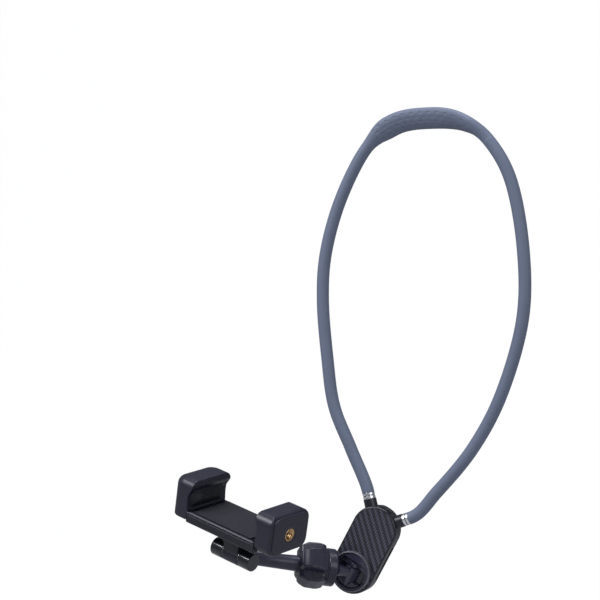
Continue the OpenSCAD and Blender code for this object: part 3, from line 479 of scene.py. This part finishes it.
# the chrome rings' start and the sleeves', from the centre of the base's upper round end
RING_START, SLEEVE_START = 20.3, 24.3
# the spans of the route, and those that the pad covers
SPANS, PAD_FROM, PAD_TO = len(ROUTE_SHARES) + 1, 7, 11
PAD_THICK, PAD_WIDE, PAD_ROLL = 8.6, 15.0, 60
# half the length and half the width of a dimple, and the free lengths at the pad's two ends
DIMPLE_LONG, DIMPLE_WIDE, PLAIN_START, PLAIN_END = 1.15, 0.5, 10, 12


def base_direction(degrees):
    """A direction in the loop's plane, turned from the base's long axis."""
    a = math.radians(BASE_LEAN + degrees)
    return np.array([math.sin(a), 0.0, math.cos(a)])


def loop_route():
    """The route's points and the pull at each: the same smooth curve as the solid's."""
    middle = np.array(BASE_PLACE) + HALF_PITCH * base_direction(0)
    ends = [middle + SLEEVE_START * base_direction(side * PLUG_ANGLE) for side in (-1, 1)]
    x, z = ROUTE_SHARES.T
    inner = np.stack([x * LOOP_W, 0 * x, -z * BASE_DROP + PAD_RISE + TOP_SHARE * BASE_DROP], -1)
    points = np.concatenate([[ends[0]], inner, [ends[1]]])
    pulls = np.empty_like(points)
    pulls[1:-1] = (points[2:] - points[:-2]) / 2
    pulls[0] = base_direction(-PLUG_ANGLE) * np.linalg.norm(points[1] - points[0]) * FIRST_PULL
    pulls[-1] = -base_direction(PLUG_ANGLE) * np.linalg.norm(points[-1] - points[-2])
    return points, pulls


def along_route(first, last, steps):
    """Places, directions and distances along spans of the route: cubic curves that pass through its points."""
    points, pulls = loop_route()
    u = np.linspace(first, last, (last - first) * steps + 1)
    i = np.minimum(np.floor(u).astype(int), last - 1)
    t = (u - i)[:, None]
    a, b, da, db = points[i], points[i + 1], pulls[i], pulls[i + 1]
    place = (2 * t**3 - 3 * t**2 + 1) * a + (t**3 - 2 * t**2 + t) * da + (3 * t**2 - 2 * t**3) * b + (t**3 - t**2) * db
    slope = (6 * t**2 - 6 * t) * a + (3 * t**2 - 4 * t + 1) * da + (6 * t - 6 * t**2) * b + (3 * t**2 - 2 * t) * db
    slope /= np.linalg.norm(slope, axis=1, keepdims=True)
    gone = np.concatenate([[0], np.cumsum(np.linalg.norm(np.diff(place, axis=0), axis=1))])
    return place, slope, gone


def route_rings(place, slope, half_out, half_across, roll, angles, sink=None):
    """Rings of an oval section square to the route; half_out points out of the loop, half_across out of its
    plane, both turned by roll; sink draws points in along the section's own direction."""
    out = np.stack([-slope[:, 2], 0 * slope[:, 1], slope[:, 0]], -1)
    side = np.array([0.0, 1.0, 0.0])
    c, s = np.cos(roll)[:, None], np.sin(roll)[:, None]
    u, v = out * c + side * s, side * c - out * s
    co, si = half_out * np.cos(angles), half_across * np.sin(angles)
    if sink is not None:
        length = np.hypot(co, si)
        co, si = co * (1 - sink / length), si * (1 - sink / length)
    return place[:, None] + u[:, None] * co[..., None] + v[:, None] * si[..., None]


COLOUR = {"subtype": "COLOR", "size": 3, "min": 0, "max": 1}


class HolderLoop(bpy.types.PropertyGroup):
    sleeve_diameter: bpy.props.FloatProperty(
        name="Sleeve diameter", description="Outside diameter of the sleeve, mm", default=8.2, min=7, max=9)
    dimple_depth: bpy.props.FloatProperty(
        name="Dimple depth", description="Depth of the pad's dimples, mm", default=0.32, min=0, max=0.6)
    dimple_pitch: bpy.props.FloatProperty(
        name="Dimple pitch", description="Distance between dimples in a row, mm", default=5.6, min=3, max=9)
    row_pitch: bpy.props.FloatProperty(
        name="Row pitch", description="Distance between rows of dimples, mm", default=2.8, min=2, max=4)
    colour: bpy.props.FloatVectorProperty(
        name="Silicone colour", description="Colour of the sleeve and pad", default=(0.138, 0.165, 0.231), **COLOUR)


class HolderBody(bpy.types.PropertyGroup):
    black: bpy.props.FloatVectorProperty(
        name="Black plastic", description="Colour of the moulded black pieces",
        default=(0.0105, 0.0112, 0.0180), **COLOUR)
    # the grey is a lighter, bluer copy of the black: partly the pieces' own greyer tone, partly painted light where
    # they are lit
    grey: bpy.props.FloatVectorProperty(
        name="Dark plastic", description="Colour of the lit, slightly greyer pieces",
        default=(0.0170, 0.0178, 0.0300), **COLOUR)
    weave: bpy.props.FloatVectorProperty(
        name="Woven plate", description="Colour of the woven front plate", default=(0.030, 0.032, 0.044), **COLOUR)
    brass: bpy.props.FloatVectorProperty(
        name="Brass", description="Colour of the threaded insert", default=(0.62, 0.40, 0.19), **COLOUR)
    grip_height: bpy.props.FloatProperty(
        name="Grip height", description="Diameter over the lock nut's grips, less 0.9 mm at each flat top, mm",
        default=28.8, min=27, max=31)


class HOLDER_OT_loop(bpy.types.Operator):
    """Builds the silicone sleeves and the dimpled neck pad"""

    bl_idname = "holder.loop"
    bl_label = "Neck loop"

    def execute(self, context):
        sizes = context.scene.holder_loop
        skin = silicone("silicone_slate", sizes.colour)
        r = sizes.sleeve_diameter / 2
        for name, first, last in (("neck_sleeve_left", 0, PAD_FROM), ("neck_sleeve_right", PAD_TO, SPANS)):
            place, slope, _ = along_route(first, last, 40)
            plain = np.full((len(place), 1), r)
            rings = route_rings(place, slope, plain, plain, np.zeros(len(place)), circle(48))
            place_on(closed_skin(name + "_skin", rings), "base", skin, (name,))
        self.pad(sizes, skin, r)
        return {"FINISHED"}

    def pad(self, sizes, skin, r):
        """The pad's section swells from the sleeve's circle to an oval and back, and turns along its length.
        On its inner half, staggered rows of short dimples sink by a fourth-power bell of their two distances."""
        place, slope, gone = along_route(PAD_FROM, PAD_TO, 110)
        t = np.linspace(0, 1, len(place))
        swell = smooth_step(np.minimum(t, 1 - t) / 0.2)[:, None]
        half_out = r + (PAD_THICK / 2 - r) * swell
        half_across = r + (PAD_WIDE / 2 - r) * swell
        roll = np.radians(PAD_ROLL * (1 - 0.83 * smooth_step((t - 0.5) * 2)))
        angles = circle(144)
        across = half_across * np.sin(angles)
        row = np.round(across / sizes.row_pitch)
        off = across - row * sizes.row_pitch
        shift = np.where(row % 2 == 0, 0.0, 0.5)
        steps = gone[:, None] / sizes.dimple_pitch + shift
        along = (steps - np.round(steps)) * sizes.dimple_pitch
        bell = np.exp(-((along / DIMPLE_LONG) ** 4) - (off / DIMPLE_WIDE) ** 4)
        inside = (np.cos(angles) < -0.05) & (np.abs(row) <= 2)
        reach = (gone[:, None] > PLAIN_START) & (gone[:, None] < gone[-1] - PLAIN_END)
        sink = sizes.dimple_depth * bell * inside * reach
        rings = route_rings(place, slope, half_out, half_across, roll, angles, sink)
        place_on(closed_skin("neck_pad_skin", rings), "base", skin, ("neck_pad",))


# the nut, the arm and its hinge

# the height of the nut's mouth, the turn of its grips and the rounding of their edges
MOUTH, GRIP_ANGLE, GRIP_ROUND = -6.5, 24.0, 0.9
# heights and radii of the nut's core, and radii and heights of its inside from the tail to the mouth
NUT_CORE = np.array([[-6.5, 11.3], [-6.2, 11.9], [-5.6, 12.2], [-1.0, 12.2], [-0.6, 11.8], [5.0, 10.9], [12.0, 8.6],
                     [18.0, 6.1]])
NUT_INSIDE = np.array([[5.55, 18.0], [5.5, 14.0], [9.0, 6.0], [9.0, -0.3], [7.95, -0.3], [7.6, -2.4], [6.75, -4.2],
                       [6.25, -4.8], [7.4, -6.2], [7.8, -6.5]])


def grip_form(u, w, z, top):
    """One grip: flat on top, wider towards the ball and at the foot, round at both ends, both of them lowered."""
    fall = 2.6 * smooth_step((z - 11.0) / 7.0) + 1.0 * smooth_step((6.0 - z) / 6.0)
    half = 7.7 - 0.1 * z + 0.1 * (top - u)
    outline = joined(3.0, (abs(w) - half) * 0.97, 0.1 - z, z - 17.6)
    return joined(GRIP_ROUND, outline, u - (top - fall))


class HOLDER_OT_nut(bpy.types.Operator):
    """Builds the ball joint's lock nut with its four raised grips"""

    bl_idname = "holder.nut"
    bl_label = "Lock nut"

    def execute(self, context):
        """Outside, the radius at each height and angle is found by halving: the core and the grips together, with
        a fillet where they meet. Inside, back through the tail, the thread, the ball's hollow and the mouth."""
        body = context.scene.holder_body
        z = np.concatenate([np.linspace(MOUTH, -1.0, 24), np.linspace(-0.9, NUT_END, 150)])[:, None]
        core = np.interp(z, *NUT_CORE.T)
        a = circle(384)
        near = np.radians((np.degrees(a) - GRIP_ANGLE + 45) % 90 - 45)[None, :]
        low, high = np.full((len(z), len(a)), 3.0), np.full((len(z), len(a)), 18.0)
        for _ in range(18):
            r = (low + high) / 2
            grip = grip_form(r * np.cos(near), r * np.sin(near), z, body.grip_height / 2 - GRIP_ROUND)
            within = -joined(GRIP_ROUND, core - r, -grip) < 0
            low, high = np.where(within, r, low), np.where(within, high, r)
        outside = np.stack([low * np.cos(a), low * np.sin(a), np.repeat(z, len(a), 1)], -1)
        piece = looped("lock_nut_skin", np.concatenate([outside, turned_rings(NUT_INSIDE, a)]), ARM)
        # painted sheen: the nut's plastic is the grey made 1.2 times lighter, standing in for the light on its grips
        plastic = moulded_plastic("nut_plastic", lit(body.grey, 1.2), 0.27)
        place_on(piece, "nut", plastic, ("lock_nut",))
        return {"FINISHED"}


# the arm's radius at its two ends, and how far before the hinge it ends
ARM_THICK, ARM_THIN, ARM_SHORT = 5.2, 3.7, 9.6
# half widths of the middle knuckle and of the fork, and the fork's inner face
KNUCKLE_HALF, FORK_HALF, FORK_INNER = 6.35, 12.6, 6.85


def web_form(x, y, z):
    """The fork's web: a flat block across the arm's end."""
    return joined(0.8, abs(x) - FORK_HALF, abs(y + 0.75) - 4.75, abs(z + 8.1) - 1.5)


def cheek_form(middle):
    """A cheek of the fork: a block that ends in the knuckle."""
    def form(x, y, z):
        return joined(0.7, abs(x - middle) - 2.85, abs(y) - 4, abs(z + 5.3) - 4.3)
    return form


class HOLDER_OT_arm(bpy.types.Operator):
    """Builds the cranked arm and the hinge's two outer knuckles"""

    bl_idname = "holder.arm"
    bl_label = "Arm and hinge"

    def execute(self, context):
        body = context.scene.holder_body
        # the arm's plastic is the grey made 1.7 times lighter: partly its own lighter bluish tone, partly a painted
        # sheen from above
        self.arm(moulded_plastic("arm_plastic", lit(body.grey, 1.7), 0.34))
        self.fork(moulded_plastic("hinge_gloss", body.black, 0.2, coat=0.5))
        return {"FINISHED"}

    def arm(self, plastic):
        """Rings square to a straight neck and then to a circular arc, whose radius falls evenly along it."""
        a = circle(64)
        socket = [[8.95, 0.0], [8.95, 5.5], [8.6, 5.7], [ARM_THICK, 13.6], [ARM_THICK, 17.0]]
        neck = turned_rings(np.array(socket), a)
        t = np.linspace(0, 1 - ARM_SHORT / (ARM_R * BEND), 60)[:, None]
        turn = BEND * t
        r = ARM_THICK + (ARM_THIN - ARM_THICK) * t
        across = r * np.cos(a)
        x = ARM_R * (1 - np.cos(turn)) + np.cos(turn) * across
        z = NUT_END + ARM_R * np.sin(turn) - np.sin(turn) * across
        bar = np.stack([x, r * np.sin(a) + 0 * x, z], -1)
        place_on(closed_skin("arm_skin", np.concatenate([neck, bar]), ARM), "arm", plastic, ("arm",))

    def fork(self, gloss):
        """Two drums on the hinge's axis, a web behind them and a cheek from the web to each drum."""
        for side, name in ((-1, "left"), (1, "right")):
            drum = barrel("outer_knuckle_" + name, FORK_INNER, 16.0, 5.75, ARM_END.turn("y", 90 * side))
            place_on(drum, "arm", gloss, ("hinge_fork", "hinge_caps") if side < 0 else ())
        web = carved("hinge_web", (-FORK_HALF, -5.5, -9.6), (FORK_HALF, 4.0, -6.6), 0.5, web_form, ARM_END)
        place_on(web, "arm", gloss)
        for side, name in ((-1, "left"), (1, "right")):
            low, high = sorted((side * 6.9, side * FORK_HALF))
            cheek = carved("hinge_cheek_" + name, (low, -4, -9.6), (high, 4, -1), 0.5, cheek_form(side * 9.75), ARM_END)
            place_on(cheek, "arm", gloss)


# the clip

# half the space between the jaws, the tray's height over the hinge, the clip's width, the body's lower and upper face
HALF_GAP, TRAY_RISE, CLIP_W, BODY_LOW, BODY_HIGH = 28.5, 23.5, 36.5, 15.6, 21.3
HALF_W = CLIP_W / 2
# heights of the two jaws over the tray, and how far the fixed one hangs under it
JAW_H, FIXED_H, JAW_DROP = 20.0, 19.0, 7.0
# thicknesses of the jaws and the tray, and the tray's lower face
JAW_T, FIXED_T, TRAY_T, TRAY_LOW = 14.6, 13.4, 6.0, 21.4
# the insert's height, and the springs' place
INSERT_Z, SPRING_Y, SPRING_Z = 28.6, 9.0, 21.0
# the pads' half width and half height, and the height of their middle over the tray; their windows are this much larger
PAD_HALF_W, PAD_HALF_H, PAD_MIDDLE, PAD_PLAY = 15.3, 6.6, 7.4, 0.6
# how far the end plate's outline and its rounding stand back, and the radius of its hole
PLATE_INSET, PLATE_ROUND, PLATE_HOLE = 2.2, 0.5, 4.5


def jaw_face(v, lip):
    """How far a jaw's inner face stands back from the phone, by height: hollow in the middle, a lip on top."""
    return 0.5 * smooth_step(v / 6) * (1 - smooth_step((v - 8) / 5)) - lip * smooth_step((v - 9.5) / 7)


def pad_window(y, v):
    """1 in the window that a jaw has for its pad, 0 around it."""
    walls = abs(y) - (PAD_HALF_W + PAD_PLAY), abs(v - PAD_MIDDLE) - (PAD_HALF_H + PAD_PLAY)
    return window(joined(4.2, *walls), 0.5)


def sliding_form(x, y, z):
    """Sliding jaw: a large round shoulder, round corners at both ends, and a shallow window in its inner face."""
    u, v = -x - HALF_GAP, z - TRAY_RISE
    inner = jaw_face(v, 2.6) + 0.7 * pad_window(y, v) - u
    plan = joined(8.5, abs(y) - HALF_W, u - JAW_T)
    body = joined(5.5, v - JAW_H, plan)
    body = np.maximum(body, joined(2.2, u - JAW_T, -TRAY_T - v))
    return joined(0.6, body, inner)


def pad_form(side):
    """The soft pad in a jaw's window, a little below its face."""
    def form(x, y, z):
        u, v = side * x - HALF_GAP, z - TRAY_RISE
        face = jaw_face(v, 2.0) + 0.25
        outline = joined(3.8, abs(y) - PAD_HALF_W, abs(v - PAD_MIDDLE) - PAD_HALF_H)
        return joined(0.5, outline, face - u, u - face - 1.6)
    return form


def fixed_form(x, y, z):
    """Fixed jaw: a rounded block, with a window for its end plate and a pit for the brass insert."""
    u, v = x - HALF_GAP, z - TRAY_RISE
    middle, half = (FIXED_H - JAW_DROP) / 2, (FIXED_H + JAW_DROP) / 2
    outline = joined(6.6, abs(y) - HALF_W, abs(v - middle) - half)
    pit = window(np.hypot(y, z - INSERT_Z) - 4.1, 0.7)
    sunk = 0.9 * window(joined(4.0, abs(y) - HALF_W + 2.0, abs(v - middle) - half + 2.0), 0.4)
    shoulder = joined(6.0, v - FIXED_H, u - FIXED_T)
    body = joined(3.2, np.maximum(outline, shoulder), u - FIXED_T)
    body = np.maximum(body, u - FIXED_T + np.maximum(sunk, 8.0 * pit))
    return joined(0.8, body, jaw_face(v, 2.0) + 0.7 * pad_window(y, v) - u)


def tray_form(x, y, z):
    """Tray plate with a sunken bed for its pad and a round groove over each spring, its rim over the body's rails."""
    bed = 0.7 * window(joined(0.6, abs(y) - 16.3, abs(x) - 24.1), 0.25)
    plate = joined(0.5, abs(y) - HALF_W + 0.15, z - TRAY_RISE + bed, TRAY_LOW - z, abs(x + 0.4) - 28.7)
    return np.maximum(plate, 1.38 - np.hypot(abs(y) - SPRING_Y, z - SPRING_Z))


def body_form(x, y, z):
    """The clip's body: round lower edges, a fine groove along each side and a round channel for each spring."""
    groove = 0.5 * window(abs(z - 19.2) - 0.45, 0.3)
    deep = np.hypot(abs(y) - SPRING_Y, np.minimum(z - SPRING_Z, 0))
    channel = joined(0.2, deep - 1.9, abs(x) - HALF_GAP + 2.0)
    bottom = joined(1.6, abs(y) - HALF_W + groove, BODY_LOW - z)
    block = joined(0.4, bottom, z - BODY_HIGH, abs(x) - HALF_GAP + 0.02)
    return np.maximum(block, -channel)


def bracket_form(x, y, z):
    """The bracket: it grows wider in both directions from the hinge's middle knuckle to the body."""
    wide = KNUCKLE_HALF + 10.0 * np.clip((z - 7.0) / 9.0, 0, 1) ** 1.4
    deep = 4.6 + 2.5 * np.clip(z / 16.0, 0, 1)
    return joined(1.2, (abs(x) - wide) * 0.7, abs(y) - deep, z - 17.5, -0.5 - z)


class HOLDER_OT_clip(bpy.types.Operator):
    """Builds the clip: sliding jaw and tray, fixed jaw with its end plate and insert, body and bracket"""

    bl_idname = "holder.clip"
    bl_label = "Phone clip"

    def execute(self, context):
        body = context.scene.holder_body
        plastic = moulded_plastic("clip_plastic", body.grey, 0.36)
        dark = moulded_plastic("clip_dark_plastic", body.black, 0.42)
        rubber = moulded_plastic("grip_rubber", body.black, 0.62, 0.6)
        jaw = carved("sliding_jaw_skin", (-HALF_GAP - JAW_T, -HALF_W, TRAY_RISE - TRAY_T),
                     (-HALF_GAP + 2, HALF_W, TRAY_RISE + JAW_H), 0.42, sliding_form, CLIP)
        place_on(jaw, "slide", plastic, ("sliding_jaw",))
        tray = carved("tray_skin", (-29.1, -HALF_W + 0.15, TRAY_LOW), (28.3, HALF_W - 0.15, TRAY_RISE),
                      0.42, tray_form, CLIP)
        place_on(tray, "slide", plastic)
        fixed = carved("fixed_jaw_skin", (HALF_GAP - 2, -HALF_W, TRAY_RISE - JAW_DROP),
                       (HALF_GAP + FIXED_T, HALF_W, TRAY_RISE + JAW_H), 0.36, fixed_form, CLIP)
        place_on(fixed, "clip", plastic, ("fixed_jaw",))
        channel = carved("body_skin", (-HALF_GAP, -HALF_W, BODY_LOW), (HALF_GAP, HALF_W, BODY_HIGH),
                         0.42, body_form, CLIP)
        place_on(channel, "clip", dark, ("clip_base",))
        bracket = carved("bracket_skin", (-16.3, -7.1, -0.5), (16.3, 7.1, 17.5), 0.4, bracket_form, CLIP)
        place_on(bracket, "clip", dark)
        middle = barrel("middle_knuckle", -KNUCKLE_HALF, KNUCKLE_HALF, 5.8, CLIP.turn("y", 90))
        place_on(middle, "clip", plastic)
        paint("tray_pad", rubber)
        for side, name, part in ((-1, "sliding_jaw_pad", "slide"), (1, "fixed_jaw_pad", "clip")):
            low, high = sorted((side * (HALF_GAP - 1.5), side * (HALF_GAP + 2.2)))
            pad = carved(name + "_skin", (low, -PAD_HALF_W, TRAY_RISE + 0.8), (high, PAD_HALF_W, TRAY_RISE + 14),
                         0.4, pad_form(side), CLIP)
            place_on(pad, part, rubber, (name,))
        self.end_plate(plastic)
        self.insert(bright_metal("turned_brass", body.brass, 0.22))
        return {"FINISHED"}

    def end_plate(self, plastic):
        """A plate from the insert's circle out to a rounded rectangle: rows mix the circle with the outline, and
        the last ones turn over a round edge. The rows' middle moves from the insert's to the plate's."""
        middle = TRAY_RISE + (JAW_H - JAW_DROP) / 2
        a = circle(256)
        c, s = np.cos(a), np.sin(a)
        half_y, half_z, power = HALF_W - PLATE_INSET, (JAW_H + JAW_DROP) / 2 - PLATE_INSET, 6.0
        reach = (np.abs(c / half_y) ** power + np.abs(s / half_z) ** power) ** (-1 / power)
        front = HALF_GAP + FIXED_T - 0.35
        back = front - 1.2
        rows = [
            (np.full_like(a, r), np.full_like(a, x))
            for r, x in ((PLATE_HOLE - 0.15, back), (PLATE_HOLE - 0.15, front - 0.15), (PLATE_HOLE, front))
        ]
        for t in np.linspace(0.2, 1.0, 8):
            rows.append((PLATE_HOLE + (reach - PLATE_ROUND - PLATE_HOLE) * t, np.full_like(a, front)))
        for t in np.linspace(0, np.pi / 2, 7)[1:]:
            edge = front - PLATE_ROUND * (1 - np.cos(t))
            rows.append((reach - PLATE_ROUND * (1 - np.sin(t)), np.full_like(a, edge)))
        rows.append((reach, np.full_like(a, back)))
        rings = []
        for r, x in rows:
            share = smooth_step((r.mean() - PLATE_HOLE) / 8.0)
            rings.append(np.stack([x, r * c, INSERT_Z + (middle - INSERT_Z) * share + r * s], -1))
        plate = looped("end_plate_skin", np.stack(rings), CLIP)
        place_on(plate, "clip", plastic, ("end_plate",))

    def insert(self, brass):
        """A threaded bush: the bore's radius follows a saw wave of height minus turns; the rim is chamfered."""
        a = circle(96)
        z = np.linspace(0.35, 8.3, 120)
        pitch = 1.27
        wave = np.abs(((z[:, None] / pitch - a[None] / (2 * np.pi)) % 1.0) - 0.5) * 2
        bore = 2.45 + 0.75 * wave
        rim = np.array([[3.5, 0.0], [4.1, 0.0], [4.3, 0.2], [4.3, 8.45], [3.4, 8.45]])
        r = np.concatenate([bore[::-1], np.repeat(rim[:, :1], len(a), 1)])
        depth = np.concatenate([np.repeat(z[::-1, None], len(a), 1), np.repeat(rim[:, 1:], len(a), 1)])
        rings = np.stack([HALF_GAP + FIXED_T - 0.4 - depth, r * np.cos(a), INSERT_Z + r * np.sin(a)], -1)
        place_on(looped("insert_skin", rings, CLIP), "clip", brass, ("brass_insert",))


# the base and its turret

# the cup's wall and bottom, and the radii of the knuckle's pit and of the ears on its two sides
CUP_R, CUP_BOTTOM, PIT_R, EAR_R = 12.1, -4.9, 4.85, 2.7
STEEL_NODES = (
    "core_wire", "base_screws", "latch_bar", "button_spring", "turret_screw", "turret_washer", "knuckle_pin",
    "fork_screw", "hinge_bolt", "hinge_nut", "hinge_washers", "clip_screws", "jaw_springs",
)


def cup_height(x, y):
    """Height of the cup's inside: a land behind a straight edge, a rim, a sunken floor, a trough for the knuckle
    and the two ears that hold its pin."""
    r = np.hypot(x, y)
    land = smooth_step((y - 6.9) / 0.8)
    rim = smooth_step((r - 10.6) / 0.9)
    height = 0.6 + 2.4 * (1 - (1 - land) * (1 - rim))
    trough = window(joined(1.5, abs(x) - 9.6, abs(y + 1.5) - 5.1), 1.2)
    height = height + (-2.4 - height) * trough
    round_pit = 1.0 - np.sqrt(np.maximum(PIT_R ** 2 - x ** 2, 0))
    height = np.where((abs(x) < PIT_R) & (abs(y + 1.5) < PIT_R), np.minimum(height, round_pit), height)
    for middle in (4.7, -7.7):
        ear = 1.0 + np.sqrt(np.maximum(EAR_R ** 2 - x ** 2, 0)) - 3.0 * smooth_step((abs(y - middle) - 1.1) / 0.5)
        height = np.where(abs(x) < EAR_R, np.maximum(height, ear), height)
    return height


class HOLDER_OT_base(bpy.types.Operator):
    """Finishes the base, its plugs, the turret and the small metal pieces"""

    bl_idname = "holder.base"
    bl_label = "Base and turret"

    def execute(self, context):
        body = context.scene.holder_body
        shell = slot_shade_plastic("base_plastic_slot_shade", body.black)
        # painted highlight: the cup, knuckle and ball stud get the grey made 1.9 times lighter, standing in for the
        # bright crescent land
        glossy = moulded_plastic("turret_lit_plastic", lit(body.grey, 1.9), 0.2, coat=0.6)
        for node in ("base_front_shell", "base_rear_shell", "plug_left", "plug_right", "release_button"):
            paint(node, shell)
        for node in ("flip_knuckle", "ball_stud"):
            paint(node, glossy)
        self.turret(glossy)
        self.rings()
        paint("weave_plate", twill_weave("woven_plate", body.weave))
        steel = bright_metal("plain_steel", (0.55, 0.56, 0.58), 0.3)
        for node in STEEL_NODES:
            paint(node, steel)
        liner = moulded_plastic("joint_liner", (0.6, 0.6, 0.56), 0.5)
        for node in ("ball_seat", "pressure_ring"):
            paint(node, liner)
        return {"FINISHED"}

    def turret(self, glossy):
        """The ring is a closed profile with a lip on top, turned about the turret's axis. The cup's inside is its
        height over a disc, in rings from the wall to the middle."""
        # painted highlight: the ring's colour is several times lighter than the black plastic, standing in for its
        # bright rim
        rim = moulded_plastic("ring_plastic_painted_highlight", (0.085, 0.088, 0.105), 0.25, coat=0.6)
        profile = softened([[12.85, 0.05], [13.5, 0.05], [13.5, 2.4], [13.3, 3.9], [12.4, 3.9], [12.2, 2.6],
                            [12.2, 0.05], [12.85, 0.05]], 0.45)
        place_on(turned_ring("turret_ring_skin", profile, TURRET, 160), "base", rim, ("turret_ring",))
        a = circle(320)
        r = np.concatenate([[CUP_R, CUP_R], np.linspace(CUP_R - 0.1, 0.1, 130)])[:, None]
        x, y = r * np.cos(a), r * np.sin(a)
        z = cup_height(x, y)
        z[0] = CUP_BOTTOM
        cup = closed_skin("turret_cup_skin", np.stack([x, y, z], -1), TURRET)
        place_on(cup, "turret", glossy, ("turret_cup",))

    def rings(self):
        """Each chrome ring is two polished bands with a dark groove between them."""
        chrome = bright_metal("chrome_ring", (0.80, 0.81, 0.84), 0.3)
        dark = moulded_plastic("ring_groove", (0.02, 0.02, 0.025), 0.6)
        middle = (RING_START + SLEEVE_START) / 2
        bands = (RING_START, middle - 0.25), (middle + 0.25, SLEEVE_START)
        groove = [[3.4, middle - 0.3], [3.75, middle - 0.3], [3.75, middle + 0.3], [3.4, middle + 0.3]]
        for side, name in ((-1, "left"), (1, "right")):
            spot = BASE.at(0, HALF_PITCH, 0).turn("z", -PLUG_ANGLE * side).turn("x", -90)
            for band, (low, high) in enumerate(bands):
                profile = softened([[3.6, low], [4.05, low], [4.05, high], [3.2, high], [3.2, low], [3.6, low]], 0.2)
                piece = turned_ring("chrome_%s_%d" % (name, band), profile, spot, 64)
                place_on(piece, "base", chrome, ("ferrule_" + name,) if band == 0 else ())
            place_on(turned_ring("groove_" + name, groove, spot, 64), "base", dark)


# stage

SOFT_WHITE = (0.93, 0.94, 1.0)
# the photograph's camera: its place in metres, its turn about Z in degrees and its lens
CAMERA_PLACE, CAMERA_TURN, CAMERA_LENS = (0.332, -1.0523, -0.1117), 22, 101.64
# what the lamps point at, in metres
AIM = (-0.06, -0.03, -0.2)
# the floor's height, its half width, its front edge, where its curve starts, the curve's radius and the backdrop's rise
FLOOR_Z, FLOOR_HALF, FLOOR_FRONT, CURVE_START, CURVE_R, BACK_RISE = -490.0, 3500.0, -3000, 1400, 600, 3000


def area_lamp(name, place, size, watts):
    """A round lamp that faces the part."""
    lamp = bpy.data.lights.new(name, "AREA")
    lamp.shape, lamp.size, lamp.energy, lamp.color = "DISK", size, watts, SOFT_WHITE
    holder = bpy.data.objects.new(name, lamp)
    holder.location = place
    back = np.array(place, float) - np.array(AIM, float)
    holder.rotation_euler = Vector(tuple(back)).to_track_quat("Z", "Y").to_euler()
    bpy.context.scene.collection.objects.link(holder)


class HOLDER_OT_stage(bpy.types.Operator):
    """Sets up the floor, the lamps and the camera"""

    bl_idname = "holder.stage"
    bl_label = "Stage"

    def execute(self, context):
        scene = context.scene
        self.floor()
        self.world(scene)
        area_lamp("key_lamp", (-0.8, -0.9, 0.8), 0.7, 17)
        area_lamp("fill_lamp", (1.2, -0.7, 0.2), 0.8, 5)
        area_lamp("top_lamp", (0.1, 0.0, 1.2), 0.9, 13)
        camera = bpy.data.cameras.new("photo_camera")
        camera.lens, camera.sensor_width, camera.sensor_fit = CAMERA_LENS, 36.0, "HORIZONTAL"
        camera.clip_start, camera.clip_end = 0.05, 50.0
        holder = bpy.data.objects.new("photo_camera", camera)
        holder.location = CAMERA_PLACE
        holder.rotation_euler = (math.radians(90), 0, math.radians(CAMERA_TURN))
        scene.collection.objects.link(holder)
        scene.camera = holder
        scene.view_settings.view_transform = "Standard"
        return {"FINISHED"}

    def floor(self):
        """A floor that curves up into a backdrop: a path of points across the depth, drawn along X. The camera sees
        it nearly white, and the light that it gives back is grey."""
        a = np.linspace(0, np.pi / 2, 16)
        depth = np.concatenate([[FLOOR_FRONT], CURVE_START + CURVE_R * np.sin(a), [CURVE_START + CURVE_R]])
        height = np.concatenate([[0], CURVE_R * (1 - np.cos(a)), [BACK_RISE]]) + FLOOR_Z
        x = np.array([-FLOOR_HALF, FLOOR_HALF])
        points = np.stack([
            np.repeat(x[None], len(depth), 0), np.repeat(depth[:, None], 2, 1), np.repeat(height[:, None], 2, 1)
        ], -1)
        sheet = mesh_piece("floor", points, [grid_faces(len(depth), 2, around=False)])
        s = Shade("pale_floor")
        dull = s.node("ShaderNodeBsdfDiffuse", None, {"Color": (0.42, 0.42, 0.43, 1)})
        glow = s.node("ShaderNodeEmission", None, {"Color": (1, 1, 1, 1), "Strength": 1.14})
        seen = s.node("ShaderNodeLightPath", output="Is Camera Ray")
        sheet.data.materials.append(s.surface(s.node("ShaderNodeMixShader", None, {0: seen * 0.85, 1: dull, 2: glow})))

    def world(self, scene):
        """Weak even light from all sides."""
        world = bpy.data.worlds.new("soft_studio")
        world.use_nodes = True
        back = world.node_tree.nodes["Background"]
        back.inputs["Color"].default_value = (*SOFT_WHITE, 1)
        back.inputs["Strength"].default_value = 0.3
        scene.world = world


STEPS = ("loop", "base", "nut", "arm", "clip", "stage")


class HOLDER_PT_panel(bpy.types.Panel):
    """Lists the holder's steps and sizes"""

    bl_idname = "HOLDER_PT_panel"
    bl_label = "Neck phone holder"
    bl_space_type = "VIEW_3D"
    bl_region_type = "UI"
    bl_category = "Holder"

    def draw(self, context):
        for group in (context.scene.holder_loop, context.scene.holder_body):
            for name in group.__annotations__:
                self.layout.prop(group, name)
        for step in STEPS:
            self.layout.operator("holder." + step)


CLASSES = (
    HolderLoop, HolderBody, HOLDER_OT_loop, HOLDER_OT_base, HOLDER_OT_nut, HOLDER_OT_arm, HOLDER_OT_clip,
    HOLDER_OT_stage, HOLDER_PT_panel,
)


def register():
    for cls in CLASSES:
        bpy.utils.register_class(cls)
    bpy.types.Scene.holder_loop = bpy.props.PointerProperty(type=HolderLoop)
    bpy.types.Scene.holder_body = bpy.props.PointerProperty(type=HolderBody)


def unregister():
    del bpy.types.Scene.holder_body
    del bpy.types.Scene.holder_loop
    for cls in reversed(CLASSES):
        bpy.utils.unregister_class(cls)


def main():
    register()
    for step in STEPS:
        getattr(bpy.ops.holder, step)()


if __name__ == "__main__":
    main()
